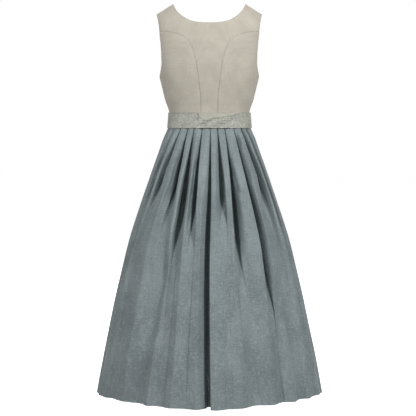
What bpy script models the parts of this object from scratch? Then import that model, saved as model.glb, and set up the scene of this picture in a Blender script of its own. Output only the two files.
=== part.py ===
"""A long sleeveless dirndl as it is worn: fitted bodice, pleated skirt, apron with its band and ties.

Metres, +Z up. The origin is midway between the two neck points of the shoulders. The back faces +Y
and the front faces -Y, and the wearer's left is +X.
"""
import math
import bpy
import numpy as np
from mathutils import Vector
from mathutils.geometry import delaunay_2d_cdt

for thing in list(bpy.data.objects):
    bpy.data.objects.remove(thing)

# Sizes that drive the garment
SEAM_GAP = 0.0003
BODICE_WALL = 0.0014
SKIRT_WALL = 0.0012
BAND_WALL = 0.0010
NECK_HALF = 0.1237
TIP_HALF = 0.1805
TIP_DROP = 0.0355
SHOULDER_ROUND = 0.085
WAIST_SEAM = -0.4000
BAND_TOP = -0.3700
BAND_BOTTOM = -0.4226
UNDERARM = -0.2470
HEM = -1.3450
APRON_HEM = -1.3000
APRON_HALF_ANGLE = 76.0
APRON_GATHERS = 20
BAND_END_ANGLE = 98.0
KNOT_ANGLE = 171.0
BODICE_ROWS = 10
PANEL_STEP = 0.017
WAIST_DEPTH = 0.0045
DEPTH_RUSH = 0.6
VALLEY_SLOPE = 4.0
WIDEST_SHARE = 0.27

# The figure under the bodice: half width, depth to the back, depth to the front, roundness
FIGURE = {
    "z":     [-0.430, -0.400, -0.374, -0.354, -0.329, -0.288, -0.247, -0.200, -0.150, -0.100, -0.050, 0.030],
    "half":  [.1415, .1385, .1375, .1420, .1510, .1615, .1715, .1780, .1860, .1935, .1965, .1965],
    "back":  [.0775, .0745, .0735, .0758, .0810, .0890, .0960, .1000, .1000, .0950, .0880, .0780],
    "front": [.0965, .0945, .0943, .0990, .1075, .1200, .1270, .1220, .1080, .0920, .0780, .0680],
    "round": [2.20, 2.20, 2.20, 2.22, 2.25, 2.30, 2.35, 2.40, 2.40, 2.40, 2.40, 2.40],
}
BUST = {"x": 0.082, "z": -0.262, "out": 0.014, "wide": 0.052, "tall": 0.058}

# The skirt with its pleats left out
SKIRT = {
    "z":     [-1.345, -1.2, -1.1, -1.0, -0.9, -0.8, -0.7, -0.6, -0.55, -0.5, -0.46, -0.4226, -0.4],
    "half":  [.3935, .3660, .3450, .3240, .3000, .2740, .2420, .2075, .1900, .1720, .1580, .1428, .1393],
    "back":  [.2700, .2570, .2440, .2290, .2130, .1940, .1730, .1470, .1310, .1130, .0980, .0795, .0760],
    "front": [.2750, .2620, .2500, .2360, .2200, .2020, .1820, .1580, .1450, .1300, .1170, .0990, .0965],
    "round": [1.60, 1.65, 1.70, 1.75, 1.80, 1.88, 1.95, 2.00, 2.05, 2.10, 2.15, 2.20, 2.20],
}

# Pleats of the back, from the wearer's left side to the right. The first four numbers are the place
# of the fold as a share of the half width at the waist, at 0.60, at 0.85 and at the hem. sharp is the
# side of the crisp edge, 1 towards the wearer's left and -1 towards the right.
BACK_PLEATS = {
    "name":   ["l0", "l1", "l2", "l3", "l4", "l5", "c", "r1", "r2", "r3", "r4", "r5", "r6"],
    "waist":  [.975, .850, .688, .515, .361, .174, -.023, -.192, -.370, -.581, -.760, -.885, -.978],
    "upper":  [.985, .918, .811, .552, .398, .221, -.005, -.206, -.377, -.621, -.845, -.945, -.988],
    "middle": [.990, .945, .870, .568, .424, .224, .029,  -.175, -.342, -.662, -.850, -.950, -.990],
    "hem":    [.990, .945, .860, .620, .440, .230, .013,  -.170, -.430, -.640, -.815, -.930, -.990],
    "deep":   [.008, .022, .034, .040, .044, .042, .050,  .038,  .044,  .046,  .034,  .020,  .008],
    "peak":   [-.50, -.52, -.55, -.58, -.69, -.67, -.80,  -.63,  -.76,  -.88,  -.57,  -.60,  -.50],
    "fade":   [-.70, -.70, -.71, -.79, -.94, -.86, -8.00,  -.76,  -1.00,  -1.20,  -.73,  -.82,  -.70],
    "at_hem": [.004, .004, .007, .013, .012, .006, .040,  .006,  .010,  .010,  .015,  .007,  .004],
    "open":   [.003, .006, .012, .012, .017, .012, .014,  .015,  .018,  .020,  .015,  .008,  .003],
    "sharp":  [-1, -1, -1, -1, 1, -1, -1, -1, 1, 1, 1, 1, 1],
}
# Pleats of the front, under the apron, as angles from the centre back
FRONT_PLEATS = {
    "angle": [105.0, 120.0, 136.0, 152.0, 170.0, -170.0, -155.0, -141.0, -128.0, -115.0, -103.0],
    "deep":  [0.009, 0.011, 0.012, 0.012, 0.011, 0.010, 0.011,  0.012,  0.012,  0.011,  0.009],
    "peak": -0.62, "fade": -1.00, "at_hem": 0.010, "open": 0.006,
}
# Where the skirt's three plain seams lie, in degrees from the centre back
SKIRT_SEAMS = {"right": -90.0, "left": 90.0, "front": 180.0}
SKIRT_RINGS = [-0.4003, -0.4226, -0.452, -0.495, -0.555, -0.62, -0.69, -0.77, -0.86, -0.97, -1.13, HEM]
# How a pleat goes from the waist to its deepest point, to where it fades, and on to the hem
STAGES = {
    "opening":        [0.0018, 1.0, 0.0420],
    "overlap":        [0.0035, 0.0100, 0.0],
    "sharp_shoulder": [0.0055, 0.0080, 0.0480],
    "soft_shoulder":  [0.0060, 0.0130, 0.0520],
}
# Shares and small sizes that shape each pleat
PLEAT = {
    "return_depth": 0.86, "soft_edge": 0.50, "crisp_edge": 0.0010, "crisp_faded": 0.34,
    "shoulder_most": 0.40, "beside_seam": 0.60, "overlap_most": 0.80,
    "puff": 0.0012, "puff_more": 0.0016, "puff_by": 0.020, "flat_above": BAND_BOTTOM - 0.004,
    "least_faded": 0.005, "faded_share": 0.60, "live_share": 0.50, "main_soft": 0.030, "main_reach": 0.40,
}

# The seam that sweeps out of the back armhole down to the waist
BACK_SEAM = {
    "x": [.0285, .0285, .0322, .0380, .0442, .0500, .0580, .0692, .0850, .1085, .1340, .1692],
    "z": [-.400, -.3215, -.285, -.238, -.199, -.175, -.150, -.130, -.1165, -.1055, -.0995, -.0960],
}
BACK_ARMHOLE = {
    "x": [0.1713, 0.1675, 0.1628, 0.1630, 0.1655, 0.1692, 0.1735, 0.1772, 0.1805],
    "z": [-0.2470, -0.2340, -0.2000, -0.1720, -0.1400, -0.0960, -0.0660, -0.0480, -0.0355],
}
BACK_NECK = {
    "x": [0.1237, 0.1175, 0.1085, 0.0960, 0.0830, 0.0660, 0.0450, 0.0230, 0.0],
    "z": [0.0, -0.0150, -0.0290, -0.0420, -0.0515, -0.0605, -0.0660, -0.0685, -0.0690],
}
FRONT_SEAM = {
    "x": [0.0500, 0.0540, 0.0620, 0.0740, 0.0850, 0.0960, 0.1120, 0.1300, 0.1480],
    "z": [-0.4000, -0.3700, -0.3300, -0.2900, -0.2550, -0.2250, -0.1900, -0.1650, -0.1500],
}
FRONT_ARMHOLE = {
    "x": [0.1713, 0.1650, 0.1560, 0.1500, 0.1480, 0.1490, 0.1540, 0.1655, 0.1805],
    "z": [-0.2470, -0.2380, -0.2150, -0.1850, -0.1500, -0.1150, -0.0800, -0.0530, -0.0355],
}
FRONT_NECK = {
    "x": [0.1237, 0.1190, 0.1140, 0.1080, 0.0980, 0.0820, 0.0600, 0.0320, 0.0],
    "z": [0.0, -0.0400, -0.0800, -0.1150, -0.1450, -0.1670, -0.1800, -0.1860, -0.1870],
}
# Upper edge of the outer tie across the centre back, where it dips and shows the tie under it
TIE_DIP = {
    "x":    [-0.1080, -0.0897, -0.0676, -0.0190, 0.0050, 0.0149, 0.0250, 0.0362, 0.0385],
    "drop": [0.0, 0.0052, 0.0107, 0.0172, 0.0235, 0.0266, 0.0185, 0.0128, 0.0],
}

# The band and ties lie round the waist between these sizes of its lower and upper edge
BAND = {
    "z":     [BAND_BOTTOM, BAND_TOP],
    "half":  [0.1430, 0.1386],
    "back":  [0.0797, 0.0753],
    "front": [0.0992, 0.0968],
}
BAND_ROUND = 2.2
# Where the ties pass over one another, in degrees from the centre back
TIE_STEPS = {"left_rises": [88.0, 96.0], "right_lands": [88.0, 78.0], "clear": 0.2, "dip": [-52.0, 17.0]}
TIE_INSET = 0.0006

# The apron's rings, how much narrower it is at the band, its gathers and its distance from the skirt
APRON_RINGS = [BAND_BOTTOM - SEAM_GAP, -0.4550, -0.5300, -0.6600, -0.8400, -1.0500, APRON_HEM]
APRON = {
    "narrower_at_band": 16.0, "gather": 0.0016, "gather_more": 0.0070,
    "clear": 0.0008, "clear_more": 0.0046, "clear_by": 1 / 16, "edge_calm": 0.4,
}

# The knot at the front right, the two loops and the two hanging ends of the bow
KNOT = {"half_wide": 0.015, "half_deep": 0.0105, "half_tall": 0.021, "out": 0.0150, "flat_end": 0.25}
LOOPS = {
    "name":  ["tie_loop_left", "tie_loop_right"],
    "side":  [1.0, -1.0],
    "droop": [0.42, 0.34],
    "start": [0.0193, 0.0177],
}
LOOP = {
    "reach": 0.084, "half": 0.011, "half_more": 0.014, "out": 0.0112, "out_more": 0.0165,
    "bulge": 0.0035, "bulge_turn": 2.2,
}
ENDS = {
    "name":   ["tie_end_left", "tie_end_right"],
    "side":   [1.0, -1.0],
    "length": [0.34, 0.31],
}
END = {
    "below_knot": 0.0215, "aside": 0.012, "aside_more": 0.060, "half": 0.010, "half_more": 0.0155,
    "slant": 0.012, "out": 0.0035, "out_more": 0.0180, "curl": 0.0025, "curl_turns": 9, "spread_by": 3.5,
    "lift_by": 4,
}

LOOK = {
    "bodice": (0.38, 0.355, 0.305, 1.0),
    "skirt": (0.17, 0.205, 0.21, 1.0),
    "apron": (0.30, 0.305, 0.265, 1.0),
}


def smooth(xs, ys, x):
    """Cubic Hermite curve through a table, with slopes that never overshoot it."""
    xs = np.asarray(xs, float)
    ys = np.asarray(ys, float)
    x = np.asarray(x, float)
    step = np.diff(xs)
    rise = np.diff(ys) / step
    slope = np.empty_like(ys)
    slope[0], slope[-1] = rise[0], rise[-1]
    same = rise[:-1] * rise[1:] > 0
    both = rise[:-1] + rise[1:]
    slope[1:-1] = np.where(same, 2 * rise[:-1] * rise[1:] / np.where(same, both, 1.0), 0.0)
    i = np.clip(np.searchsorted(xs, x) - 1, 0, len(xs) - 2)
    t = np.clip((x - xs[i]) / step[i], 0.0, 1.0)
    a = (1 + 2 * t) * (1 - t) ** 2
    b = t * (1 - t) ** 2
    c = t * t * (3 - 2 * t)
    d = t * t * (t - 1)
    return a * ys[i] + b * step[i] * slope[i] + c * ys[i + 1] + d * step[i] * slope[i + 1]


def along(points, n):
    """n points evenly spaced along a smooth curve through the given points."""
    points = np.asarray(points, float)
    way = np.concatenate([[0.0], np.cumsum(np.linalg.norm(np.diff(points, axis=0), axis=1))])
    at = np.linspace(0.0, way[-1], n)
    return np.stack([smooth(way, points[:, k], at) for k in range(points.shape[1])], axis=1)


def along_from_waist(points, n):
    """As along, with the second point at the top of the band, so that no chord crosses the band."""
    fine = along(points, 401)
    first = int(np.argmin(np.abs(fine[:, 1] - BAND_TOP - 0.001)))
    return np.concatenate([fine[:1], along(fine[first:], n - 1)])


def along_surface(points, n, side):
    """n points along a flat curve (x, z), evenly spaced over the curved surface that it lies on."""
    fine = along(points, 801)
    lifted = np.column_stack([fine, figure_depth(fine[:, 0], fine[:, 1], side)])
    way = np.concatenate([[0.0], np.cumsum(np.linalg.norm(np.diff(lifted, axis=0), axis=1))])
    at = np.linspace(0.0, way[-1], n)
    return np.stack([np.interp(at, way, fine[:, k]) for k in range(2)], axis=1)


def make(name, outer, inner, look):
    """A closed wall between two grids of points (rows, columns, 3).

    Both faces are cut into triangles along the same diagonals, the shorter ones of the outer face, so
    that the wall keeps its thickness where the cloth is twisted.
    """
    rows, cols = outer.shape[:2]
    count = rows * cols
    verts = np.concatenate([outer.reshape(-1, 3), inner.reshape(-1, 3)])
    face = np.arange(count).reshape(rows, cols)
    back = face + count

    def triangles(a, b, c, d):
        a, b, c, d = (k.ravel() for k in (a, b, c, d))
        short = np.linalg.norm(verts[a] - verts[c], axis=1) <= np.linalg.norm(verts[b] - verts[d], axis=1)
        first = np.where(short, np.stack([a, b, c]), np.stack([a, b, d]))
        second = np.where(short, np.stack([a, c, d]), np.stack([b, c, d]))
        return np.concatenate([first.T, second.T])

    front = triangles(face[:-1, :-1], face[:-1, 1:], face[1:, 1:], face[1:, :-1])
    faces = np.concatenate([
        front,
        front[:, ::-1] + count,
        triangles(back[0, :-1], back[0, 1:], face[0, 1:], face[0, :-1]),
        triangles(face[-1, :-1], face[-1, 1:], back[-1, 1:], back[-1, :-1]),
        triangles(face[:-1, 0], face[1:, 0], back[1:, 0], back[:-1, 0]),
        triangles(back[:-1, -1], back[1:, -1], face[1:, -1], face[:-1, -1]),
    ])
    solid(name, verts, faces, look)


def solid(name, verts, faces, look):
    """One closed solid from its points and triangles, turned to face outwards."""
    corner = verts[faces]
    volume = (corner[:, 0] * np.cross(corner[:, 1], corner[:, 2])).sum()
    if volume < 0:
        faces = faces[:, ::-1]
    mesh = bpy.data.meshes.new(name)
    mesh.from_pydata(verts.tolist(), [], faces.tolist())
    mesh.update()
    thing = bpy.data.objects.new(name, mesh)
    thing.data.materials.append(look)
    garment.objects.link(thing)


def material(name, colour):
    m = bpy.data.materials.new(name)
    m.use_nodes = True
    shader = m.node_tree.nodes["Principled BSDF"]
    shader.inputs["Base Color"].default_value = colour
    shader.inputs["Roughness"].default_value = 0.85
    return m


# The surface of the figure, on which every bodice panel lies
def shoulder_height(x):
    return (NECK_HALF - np.abs(x)) * TIP_DROP / (TIP_HALF - NECK_HALF)


def figure_depth(x, z, side):
    """Depth of the bodice surface at (x, z), side 1 for the back and -1 for the front."""
    half = smooth(FIGURE["z"], FIGURE["half"], z)
    power = smooth(FIGURE["z"], FIGURE["round"], z)
    depth = smooth(FIGURE["z"], FIGURE["back" if side > 0 else "front"], z)
    share = np.clip(np.abs(x) / half, 0.0, 1.0)
    y = depth * (1 - share ** power) ** (1 / power)
    if side < 0:
        across = (np.abs(x) - BUST["x"]) / BUST["wide"]
        up = (z - BUST["z"]) / BUST["tall"]
        y = y + BUST["out"] * np.exp(-across ** 2 - up ** 2) * np.clip((1 - share) / 0.25, 0.0, 1.0)
    drop = np.clip((shoulder_height(x) - z) / SHOULDER_ROUND, 0.0, 1.0)
    return side * (SEAM_GAP / 2 + y * np.sqrt(1 - (1 - drop) ** 2))


def to_turn(x, z):
    """From a place (x, z) to (turn, z), where turn is the share of the quarter round from centre to side."""
    half = smooth(FIGURE["z"], FIGURE["half"], z)
    power = smooth(FIGURE["z"], FIGURE["round"], z)
    return np.arcsin(np.clip(np.abs(x) / half, 0.0, 1.0) ** (power / 2)) / (math.pi / 2)


def from_turn(turn, z, side):
    half = smooth(FIGURE["z"], FIGURE["half"], z)
    power = smooth(FIGURE["z"], FIGURE["round"], z)
    x = half * np.sin(np.clip(turn, 0.0, 1.0) * math.pi / 2) ** (2 / power)
    return np.stack([x, figure_depth(x, z, side), z], axis=-1)


def to_fall(x, z):
    """From a height z to the length of cloth from the shoulder line down to it."""
    t = shoulder_height(x) - z
    bend = SHOULDER_ROUND * np.arccos(np.clip(1 - t / SHOULDER_ROUND, -1.0, 1.0))
    return np.where(t < SHOULDER_ROUND, bend, SHOULDER_ROUND * math.pi / 2 + t - SHOULDER_ROUND)


def from_fall(x, fall, side):
    bend = SHOULDER_ROUND * (1 - np.cos(np.clip(fall / SHOULDER_ROUND, 0.0, math.pi / 2)))
    t = np.where(fall < SHOULDER_ROUND * math.pi / 2, bend, fall - SHOULDER_ROUND * (math.pi / 2 - 1))
    z = shoulder_height(x) - t
    return np.stack([x, figure_depth(x, z, side), z], axis=-1)


def coons(bottom, right, top, left, cols):
    """A patch filled in between four curves, each an array of points in the flat of the cloth.

    It is the sum of the two ruled surfaces less the blend of the four corners."""
    u = np.linspace(0.0, 1.0, cols)[None, :, None]
    way = np.cumsum(np.linalg.norm(np.diff(left, axis=0, prepend=left[:1]), axis=1))
    v = (way / way[-1])[:, None, None]
    ruled = (1 - v) * bottom[None] + v * top[None] + (1 - u) * left[:, None] + u * right[:, None]
    flat = (1 - u) * (1 - v) * bottom[0] + u * (1 - v) * bottom[-1] + (1 - u) * v * top[0] + u * v * top[-1]
    return ruled - flat


def normals_of(grid):
    """Unit normals of a grid of points, from the differences of its neighbours."""
    du = np.gradient(grid, axis=1)
    dv = np.gradient(grid, axis=0)
    n = np.cross(du, dv)
    return n / np.maximum(np.linalg.norm(n, axis=2, keepdims=True), 1e-12)


def inward(grid, thick, side):
    """The inner face of a bodice wall, along the directions of the figure's own surface.

    Both panels at a seam take the same directions there, so their walls stay apart.
    """
    z = grid[..., 2]
    turn = np.clip(to_turn(grid[..., 0], z), 0.0, 0.998)
    step = 0.0005
    across = from_turn(turn + 0.001, z, side) - from_turn(turn - 0.001, z, side)
    up = from_turn(turn, z + step, side) - from_turn(turn, z - step, side)
    n = np.cross(up, across) * side
    n[..., 0] *= np.sign(grid[..., 0] + 1e-9)
    n /= np.maximum(np.linalg.norm(n, axis=-1, keepdims=True), 1e-12)
    inner = grid - thick * n
    inner[..., 1] = side * np.maximum(side * inner[..., 1], SEAM_GAP / 2)
    return inner


def table_points(table):
    return np.stack([table["x"], table["z"]], axis=1)


def shifted(points, amount):
    """A flat line of points moved sideways, to its left where amount is above 0."""
    way = np.gradient(points, axis=0)
    way = way / np.linalg.norm(way, axis=1, keepdims=True)
    return points + amount * np.stack([-way[:, 1], way[:, 0]], axis=1)


def seam_to_armhole(seam, armhole, n_seam, n_arm, gap, side):
    """The side of a middle panel: up the seam, then up the armhole to the shoulder tip."""
    low = shifted(along_from_waist(table_points(seam), n_seam), gap)
    arm = table_points(armhole)
    start = int(np.argmin(np.abs(arm[:, 1] - seam["z"][-1])))
    high = along_surface(arm[start:], n_arm, side)
    high[0] = low[-1]
    return np.concatenate([low[:-1], high])


def middle_outline(side, rows_seam, rows_arm, cols_neck, gap, half_only):
    """The flat outline (x, fall) of the panel at the middle of the back or of half the front.

    It goes up the seam and the armhole, along the shoulder, down the neckline and back to the waist.
    """
    seam, armhole, neck = (BACK_SEAM, BACK_ARMHOLE, BACK_NECK) if side > 0 else (
        FRONT_SEAM, FRONT_ARMHOLE, FRONT_NECK)
    rim = seam_to_armhole(seam, armhole, rows_seam, rows_arm, gap, side)
    middle = np.array([[(TIP_HALF + NECK_HALF) / 2, 0.0]])
    middle[0, 1] = shoulder_height(middle[0, 0])
    collar = along_surface(table_points(neck), cols_neck, side)
    if half_only:
        collar[-1, 0] = gap
        down = np.linspace(collar[-1, 1], BAND_TOP + 0.001, 8)[1:]
        centre = np.stack([np.full(8, gap), np.append(down, WAIST_SEAM)], axis=1)
        foot = np.array([[(rim[0, 0] + gap) / 2, WAIST_SEAM]])
        loop = np.concatenate([rim, middle, collar, centre, foot])
    else:
        half = np.concatenate([rim, middle, collar])
        foot = np.array([[0.0, WAIST_SEAM]])
        loop = np.concatenate([half, half[-2::-1] * np.array([-1.0, 1.0]), foot])
    return np.stack([loop[:, 0], to_fall(loop[:, 0], loop[:, 1])], axis=1)


def inside(points, outline):
    """True for each flat point inside a closed outline: a level ray from it crosses it an odd
    number of times."""
    a, b = outline, np.roll(outline, -1, axis=0)
    x, y = points[:, :1], points[:, 1:]
    spans = (a[:, 1] > y) != (b[:, 1] > y)
    rise = np.where(a[:, 1] == b[:, 1], 1.0, b[:, 1] - a[:, 1])
    crossed = x < a[:, 0] + (y - a[:, 1]) / rise * (b[:, 0] - a[:, 0])
    return (spans & crossed).sum(axis=1) % 2 == 1


def clearance(points, outline):
    """The distance from each flat point to the nearest edge of the outline."""
    a, way = outline, np.roll(outline, -1, axis=0) - outline
    t = ((points[:, None] - a) * way).sum(axis=2) / (way ** 2).sum(axis=1)
    near = a + np.clip(t, 0.0, 1.0)[..., None] * way
    return np.linalg.norm(points[:, None] - near, axis=2).min(axis=1)


def cut_panel(outline, step):
    """Flat triangles that fill an outline, from its own points and an even field of points inside it."""
    wide = step * math.ceil(np.abs(outline[:, 0]).max() / step)
    xs = np.arange(-wide, wide + step / 2, step)
    ys = np.arange(outline[:, 1].max() - step / 2, outline[:, 1].min(), -step)
    field = np.stack(np.meshgrid(xs, ys), axis=-1)
    field[1::2, :, 0] += step / 2
    field = field.reshape(-1, 2)
    field = field[inside(field, outline)]
    field = field[clearance(field, outline) > 0.45 * step]
    points = np.concatenate([outline, field])
    count = len(outline)
    edges = [(i, (i + 1) % count) for i in range(count)]
    flat, _, faces, _, _, _ = delaunay_2d_cdt([Vector(p) for p in points.tolist()], edges, [], 1, 1e-7)
    assert len(flat) == len(points)
    return np.array([list(p) for p in flat]), np.array(faces), count


def make_panel(name, outline, step, side, look, flip=False):
    """A bodice panel: its flat triangles laid on the figure, the same again inside, and a rim."""
    flat, faces, count = cut_panel(outline, step)
    outer = from_fall(flat[:, 0], flat[:, 1], side)
    inner = inward(outer, BODICE_WALL, side)
    verts = np.concatenate([outer, inner])
    if flip:
        verts = verts * np.array([-1.0, 1.0, 1.0])
    under = len(outer)
    i = np.arange(count)
    j = np.roll(i, -1)
    rim = np.concatenate([np.stack([j, i, i + under], axis=1), np.stack([j, i + under, j + under], axis=1)])
    corner = flat[faces]
    one, two = corner[:, 1] - corner[:, 0], corner[:, 2] - corner[:, 0]
    turned = one[:, 0] * two[:, 1] - one[:, 1] * two[:, 0] < 0
    faces = np.where(turned[:, None], faces[:, ::-1], faces)
    after = np.roll(outline, -1, axis=0)
    if (outline[:, 0] * after[:, 1] - outline[:, 1] * after[:, 0]).sum() < 0:
        rim = rim[:, ::-1]
    solid(name, verts, np.concatenate([faces, faces[:, ::-1] + under, rim]), look)


def side_panel(side, rows, cols, gap):
    """The panel from the curved seam to the side seam, in the flat coordinates (turn, z)."""
    seam, armhole = (BACK_SEAM, BACK_ARMHOLE) if side > 0 else (FRONT_SEAM, FRONT_ARMHOLE)
    left = shifted(along_from_waist(table_points(seam), rows), -gap)
    arm = table_points(armhole)
    stop = int(np.argmin(np.abs(arm[:, 1] - seam["z"][-1])))
    top = along(arm[: stop + 1], cols)[::-1].copy()
    top[0] = left[-1]
    edge = 1 - SEAM_GAP / 2 / 0.09
    right_z = np.concatenate([[WAIST_SEAM], np.linspace(BAND_TOP + 0.001, UNDERARM, rows - 1)])
    start = to_turn(left[:1, 0], left[:1, 1])[0]
    bottom = np.stack([np.linspace(start, edge, cols), np.full(cols, WAIST_SEAM)], axis=1)
    right = np.stack([np.full(rows, edge), right_z], axis=1)
    top_flat = np.stack([to_turn(top[:, 0], top[:, 1]), top[:, 1]], axis=1)
    top_flat[-1] = (edge, UNDERARM)
    left_flat = np.stack([to_turn(left[:, 0], left[:, 1]), left[:, 1]], axis=1)
    flat = coons(bottom, right, top_flat, left_flat, cols)
    return from_turn(flat[..., 0], flat[..., 1], side)


def mirrored(grid):
    return grid[:, ::-1] * np.array([-1.0, 1.0, 1.0])


# The skirt
def skirt_ring(z):
    """A dense closed ring of the skirt without pleats: its points, outward directions and lengths."""
    turn = np.radians(np.linspace(-180.0, 180.0, 1441))
    half, power = smooth(SKIRT["z"], SKIRT["half"], z), smooth(SKIRT["z"], SKIRT["round"], z)
    back, front = smooth(SKIRT["z"], SKIRT["back"], z), smooth(SKIRT["z"], SKIRT["front"], z)
    s, c = np.sin(turn), np.cos(turn)
    x = half * np.sign(s) * np.abs(s) ** (2 / power)
    y = np.where(c > 0, back, front) * np.sign(c) * np.abs(c) ** (2 / power)
    points = np.stack([x, y], axis=1)
    way = np.concatenate([[0.0], np.cumsum(np.linalg.norm(np.diff(points, axis=0), axis=1))])
    even = np.linspace(0.0, way[-1], 1441)
    px, py = np.interp(even, way, x), np.interp(even, way, y)
    tangent = np.stack([np.gradient(px), np.gradient(py)], axis=1)
    tangent /= np.linalg.norm(tangent, axis=1, keepdims=True)
    out = np.stack([-tangent[:, 1], tangent[:, 0]], axis=1)
    return {"turn": turn, "way": way, "even": even, "x": px, "y": py, "out": out, "power": power}


def on_ring(ring, s, depth):
    """The point at length s along the ring, moved inward by depth."""
    total = ring["even"][-1]
    s = np.mod(s, total)
    x, y = np.interp(s, ring["even"], ring["x"]), np.interp(s, ring["even"], ring["y"])
    nx = np.interp(s, ring["even"], ring["out"][:, 0])
    ny = np.interp(s, ring["even"], ring["out"][:, 1])
    size = np.hypot(nx, ny)
    return np.stack([x - depth * nx / size, y - depth * ny / size], axis=-1)


def at_turn(ring, degrees):
    return np.interp(np.radians(degrees), ring["turn"], ring["way"])


def staged(z, peak, fade, values, rush=1.0):
    """A value that goes from the waist to the peak and then to where the pleat fades.

    A rush under 1 takes it to the peak sooner.
    """
    w, p, f = values
    t = np.clip((BAND_BOTTOM - z) / (BAND_BOTTOM - peak), 0.0, 1.0)
    t = (t * t * (3 - 2 * t)) ** rush
    r = np.clip((peak - z) / (peak - fade), 0.0, 1.0)
    r = r * r * (3 - 2 * r)
    return (w + (p - w) * t) * (1 - r) + f * r


def pleats_at(z, ring):
    """Every pleat at height z: its place along the ring, depth, opening, overlap and shoulders."""
    rows = []
    b = BACK_PLEATS
    stations = [HEM, -0.85, -0.60, BAND_BOTTOM]
    for i in range(len(b["name"])):
        share = smooth(stations, [b["hem"][i], b["middle"][i], b["upper"][i], b["waist"][i]], max(z, HEM))
        degrees = math.degrees(math.asin(min(abs(float(share)), 1.0) ** (ring["power"] / 2)))
        rows.append((math.copysign(degrees, float(share)), b["deep"][i], b["peak"][i], b["fade"][i],
                     b["at_hem"][i], b["open"][i], b["sharp"][i]))
    f = FRONT_PLEATS
    for i in range(len(f["angle"])):
        rows.append((f["angle"][i], f["deep"][i], f["peak"], f["fade"],
                     f["at_hem"], f["open"], 1 if f["angle"][i] > 0 else -1))
    rows.sort(key=lambda r: r[0])
    made = []
    for degrees, deep, peak, fade, at_hem, opening, sharp in rows:
        faded = max(PLEAT["least_faded"], PLEAT["faded_share"] * at_hem)
        depth = staged(z, peak, fade, (WAIST_DEPTH, deep, faded), DEPTH_RUSH)
        if z < fade:
            depth = faded + (at_hem - faded) * (fade - z) / (fade - HEM)
        valley = min(STAGES["opening"][2], VALLEY_SLOPE * at_hem)
        gap = staged(z, peak, fade, (STAGES["opening"][0], opening, valley))
        over = staged(z, peak, fade, STAGES["overlap"])
        crisp = staged(z, peak, fade, STAGES["sharp_shoulder"])
        soft = staged(z, peak, fade, STAGES["soft_shoulder"])
        if fade < HEM:
            soft = soft + PLEAT["main_soft"] * np.clip((peak - z) / PLEAT["main_reach"] + 0.5, 0.0, 1.0)
        live = np.clip((z - fade) / (PLEAT["live_share"] * (peak - fade)), 0.0, 1.0)
        made.append({"s": float(at_turn(ring, degrees)), "depth": float(depth), "gap": float(gap),
                     "over": float(min(over, PLEAT["overlap_most"] * depth)),
                     "crisp": float(crisp), "soft": float(soft),
                     "sharp": sharp, "live": float(live), "main": fade < HEM})
    return made


def edge_depth(fold, crisp):
    """How far a fold's edge lies under its panel: hardly at a crisp edge, half the fold at a soft one."""
    if crisp:
        return PLEAT["crisp_edge"] + PLEAT["crisp_faded"] * fold["depth"] * (1 - fold["live"])
    return PLEAT["soft_edge"] * fold["depth"]


def pleated(z, samples):
    """The pleated outline at height z, as points of a smooth closed curve.

    Each pleat has eight control points: the floor of its fold, the end of the return under the panel,
    the edge of the fold, the shoulder of the panel, its middle, the next shoulder, edge and return.
    """
    ring = skirt_ring(z)
    made = pleats_at(z, ring)
    total = ring["even"][-1]
    seams = {name: float(at_turn(ring, angle)) for name, angle in SKIRT_SEAMS.items()}
    s, depth = [], []
    marks = {}
    for i, p in enumerate(made):
        q = made[(i + 1) % len(made)]
        q_s = q["s"] + (total if i == len(made) - 1 else 0.0)
        most = WIDEST_SHARE * (q_s - p["s"])
        start, stop = p["s"] + min(p["gap"] / 2, most), q_s - min(q["gap"] / 2, most)
        wide = stop - start
        left_sharp, right_sharp = p["sharp"] < 0, q["sharp"] > 0
        # The panel runs towards +s. Its start is crisp if the fold's crisp edge is on that side.
        widest = PLEAT["shoulder_most"] * wide
        first = min(p["crisp"] if not left_sharp else p["soft"], widest)
        last = min(q["crisp"] if not right_sharp else q["soft"], widest)
        first_over = p["over"] if not left_sharp else 0.0
        last_over = q["over"] if not right_sharp else 0.0
        first_edge = edge_depth(p, not left_sharp)
        last_edge = edge_depth(q, not right_sharp)
        middle = start + first + (wide - first - last) * 0.5
        for name, seam in seams.items():
            if start < seam < stop:
                middle = seam
                first = min(first, PLEAT["beside_seam"] * (seam - start))
                last = min(last, PLEAT["beside_seam"] * (stop - seam))
                marks[name] = len(s) + 4
        puff = -PLEAT["puff"] - PLEAT["puff_more"] * min(1.0, p["depth"] / PLEAT["puff_by"])
        if z > PLEAT["flat_above"]:
            puff = 0.0
        if p["main"]:
            marks["centre"] = len(s)
        deep = PLEAT["return_depth"]
        s += [p["s"], start + first_over, start, start + first, middle, stop - last, stop, stop - last_over]
        depth += [p["depth"], deep * p["depth"], first_edge, 0.0, puff, 0.0, last_edge, deep * q["depth"]]
    flat = on_ring(ring, np.array(s), np.array(depth))
    before, after = np.roll(flat, 1, axis=0), np.roll(flat, -1, axis=0)
    t = ((np.arange(samples) + 0.5) / samples)[None, :, None]
    a, b, c = before[:, None], flat[:, None], after[:, None]
    curve = 0.5 * (1 - t) ** 2 * (a + b) + 2 * t * (1 - t) * b + 0.5 * t ** 2 * (b + c)
    return curve.reshape(-1, 2), {k: v * samples + samples // 2 for k, v in marks.items()}


def wall_inward(line, thick, limit=2.0):
    """A closed flat line moved inward by the wall's thickness, with its corners kept apart."""
    a = line - np.roll(line, 1, axis=0)
    b = np.roll(line, -1, axis=0) - line
    a /= np.linalg.norm(a, axis=1, keepdims=True)
    b /= np.linalg.norm(b, axis=1, keepdims=True)
    na = np.stack([a[:, 1], -a[:, 0]], axis=1)
    nb = np.stack([b[:, 1], -b[:, 0]], axis=1)
    mid = na + nb
    mid /= np.maximum(np.linalg.norm(mid, axis=1, keepdims=True), 1e-9)
    reach = 1 / np.clip((mid * na).sum(axis=1, keepdims=True), 1 / limit, 1.0)
    return line + thick * reach * mid


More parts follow.
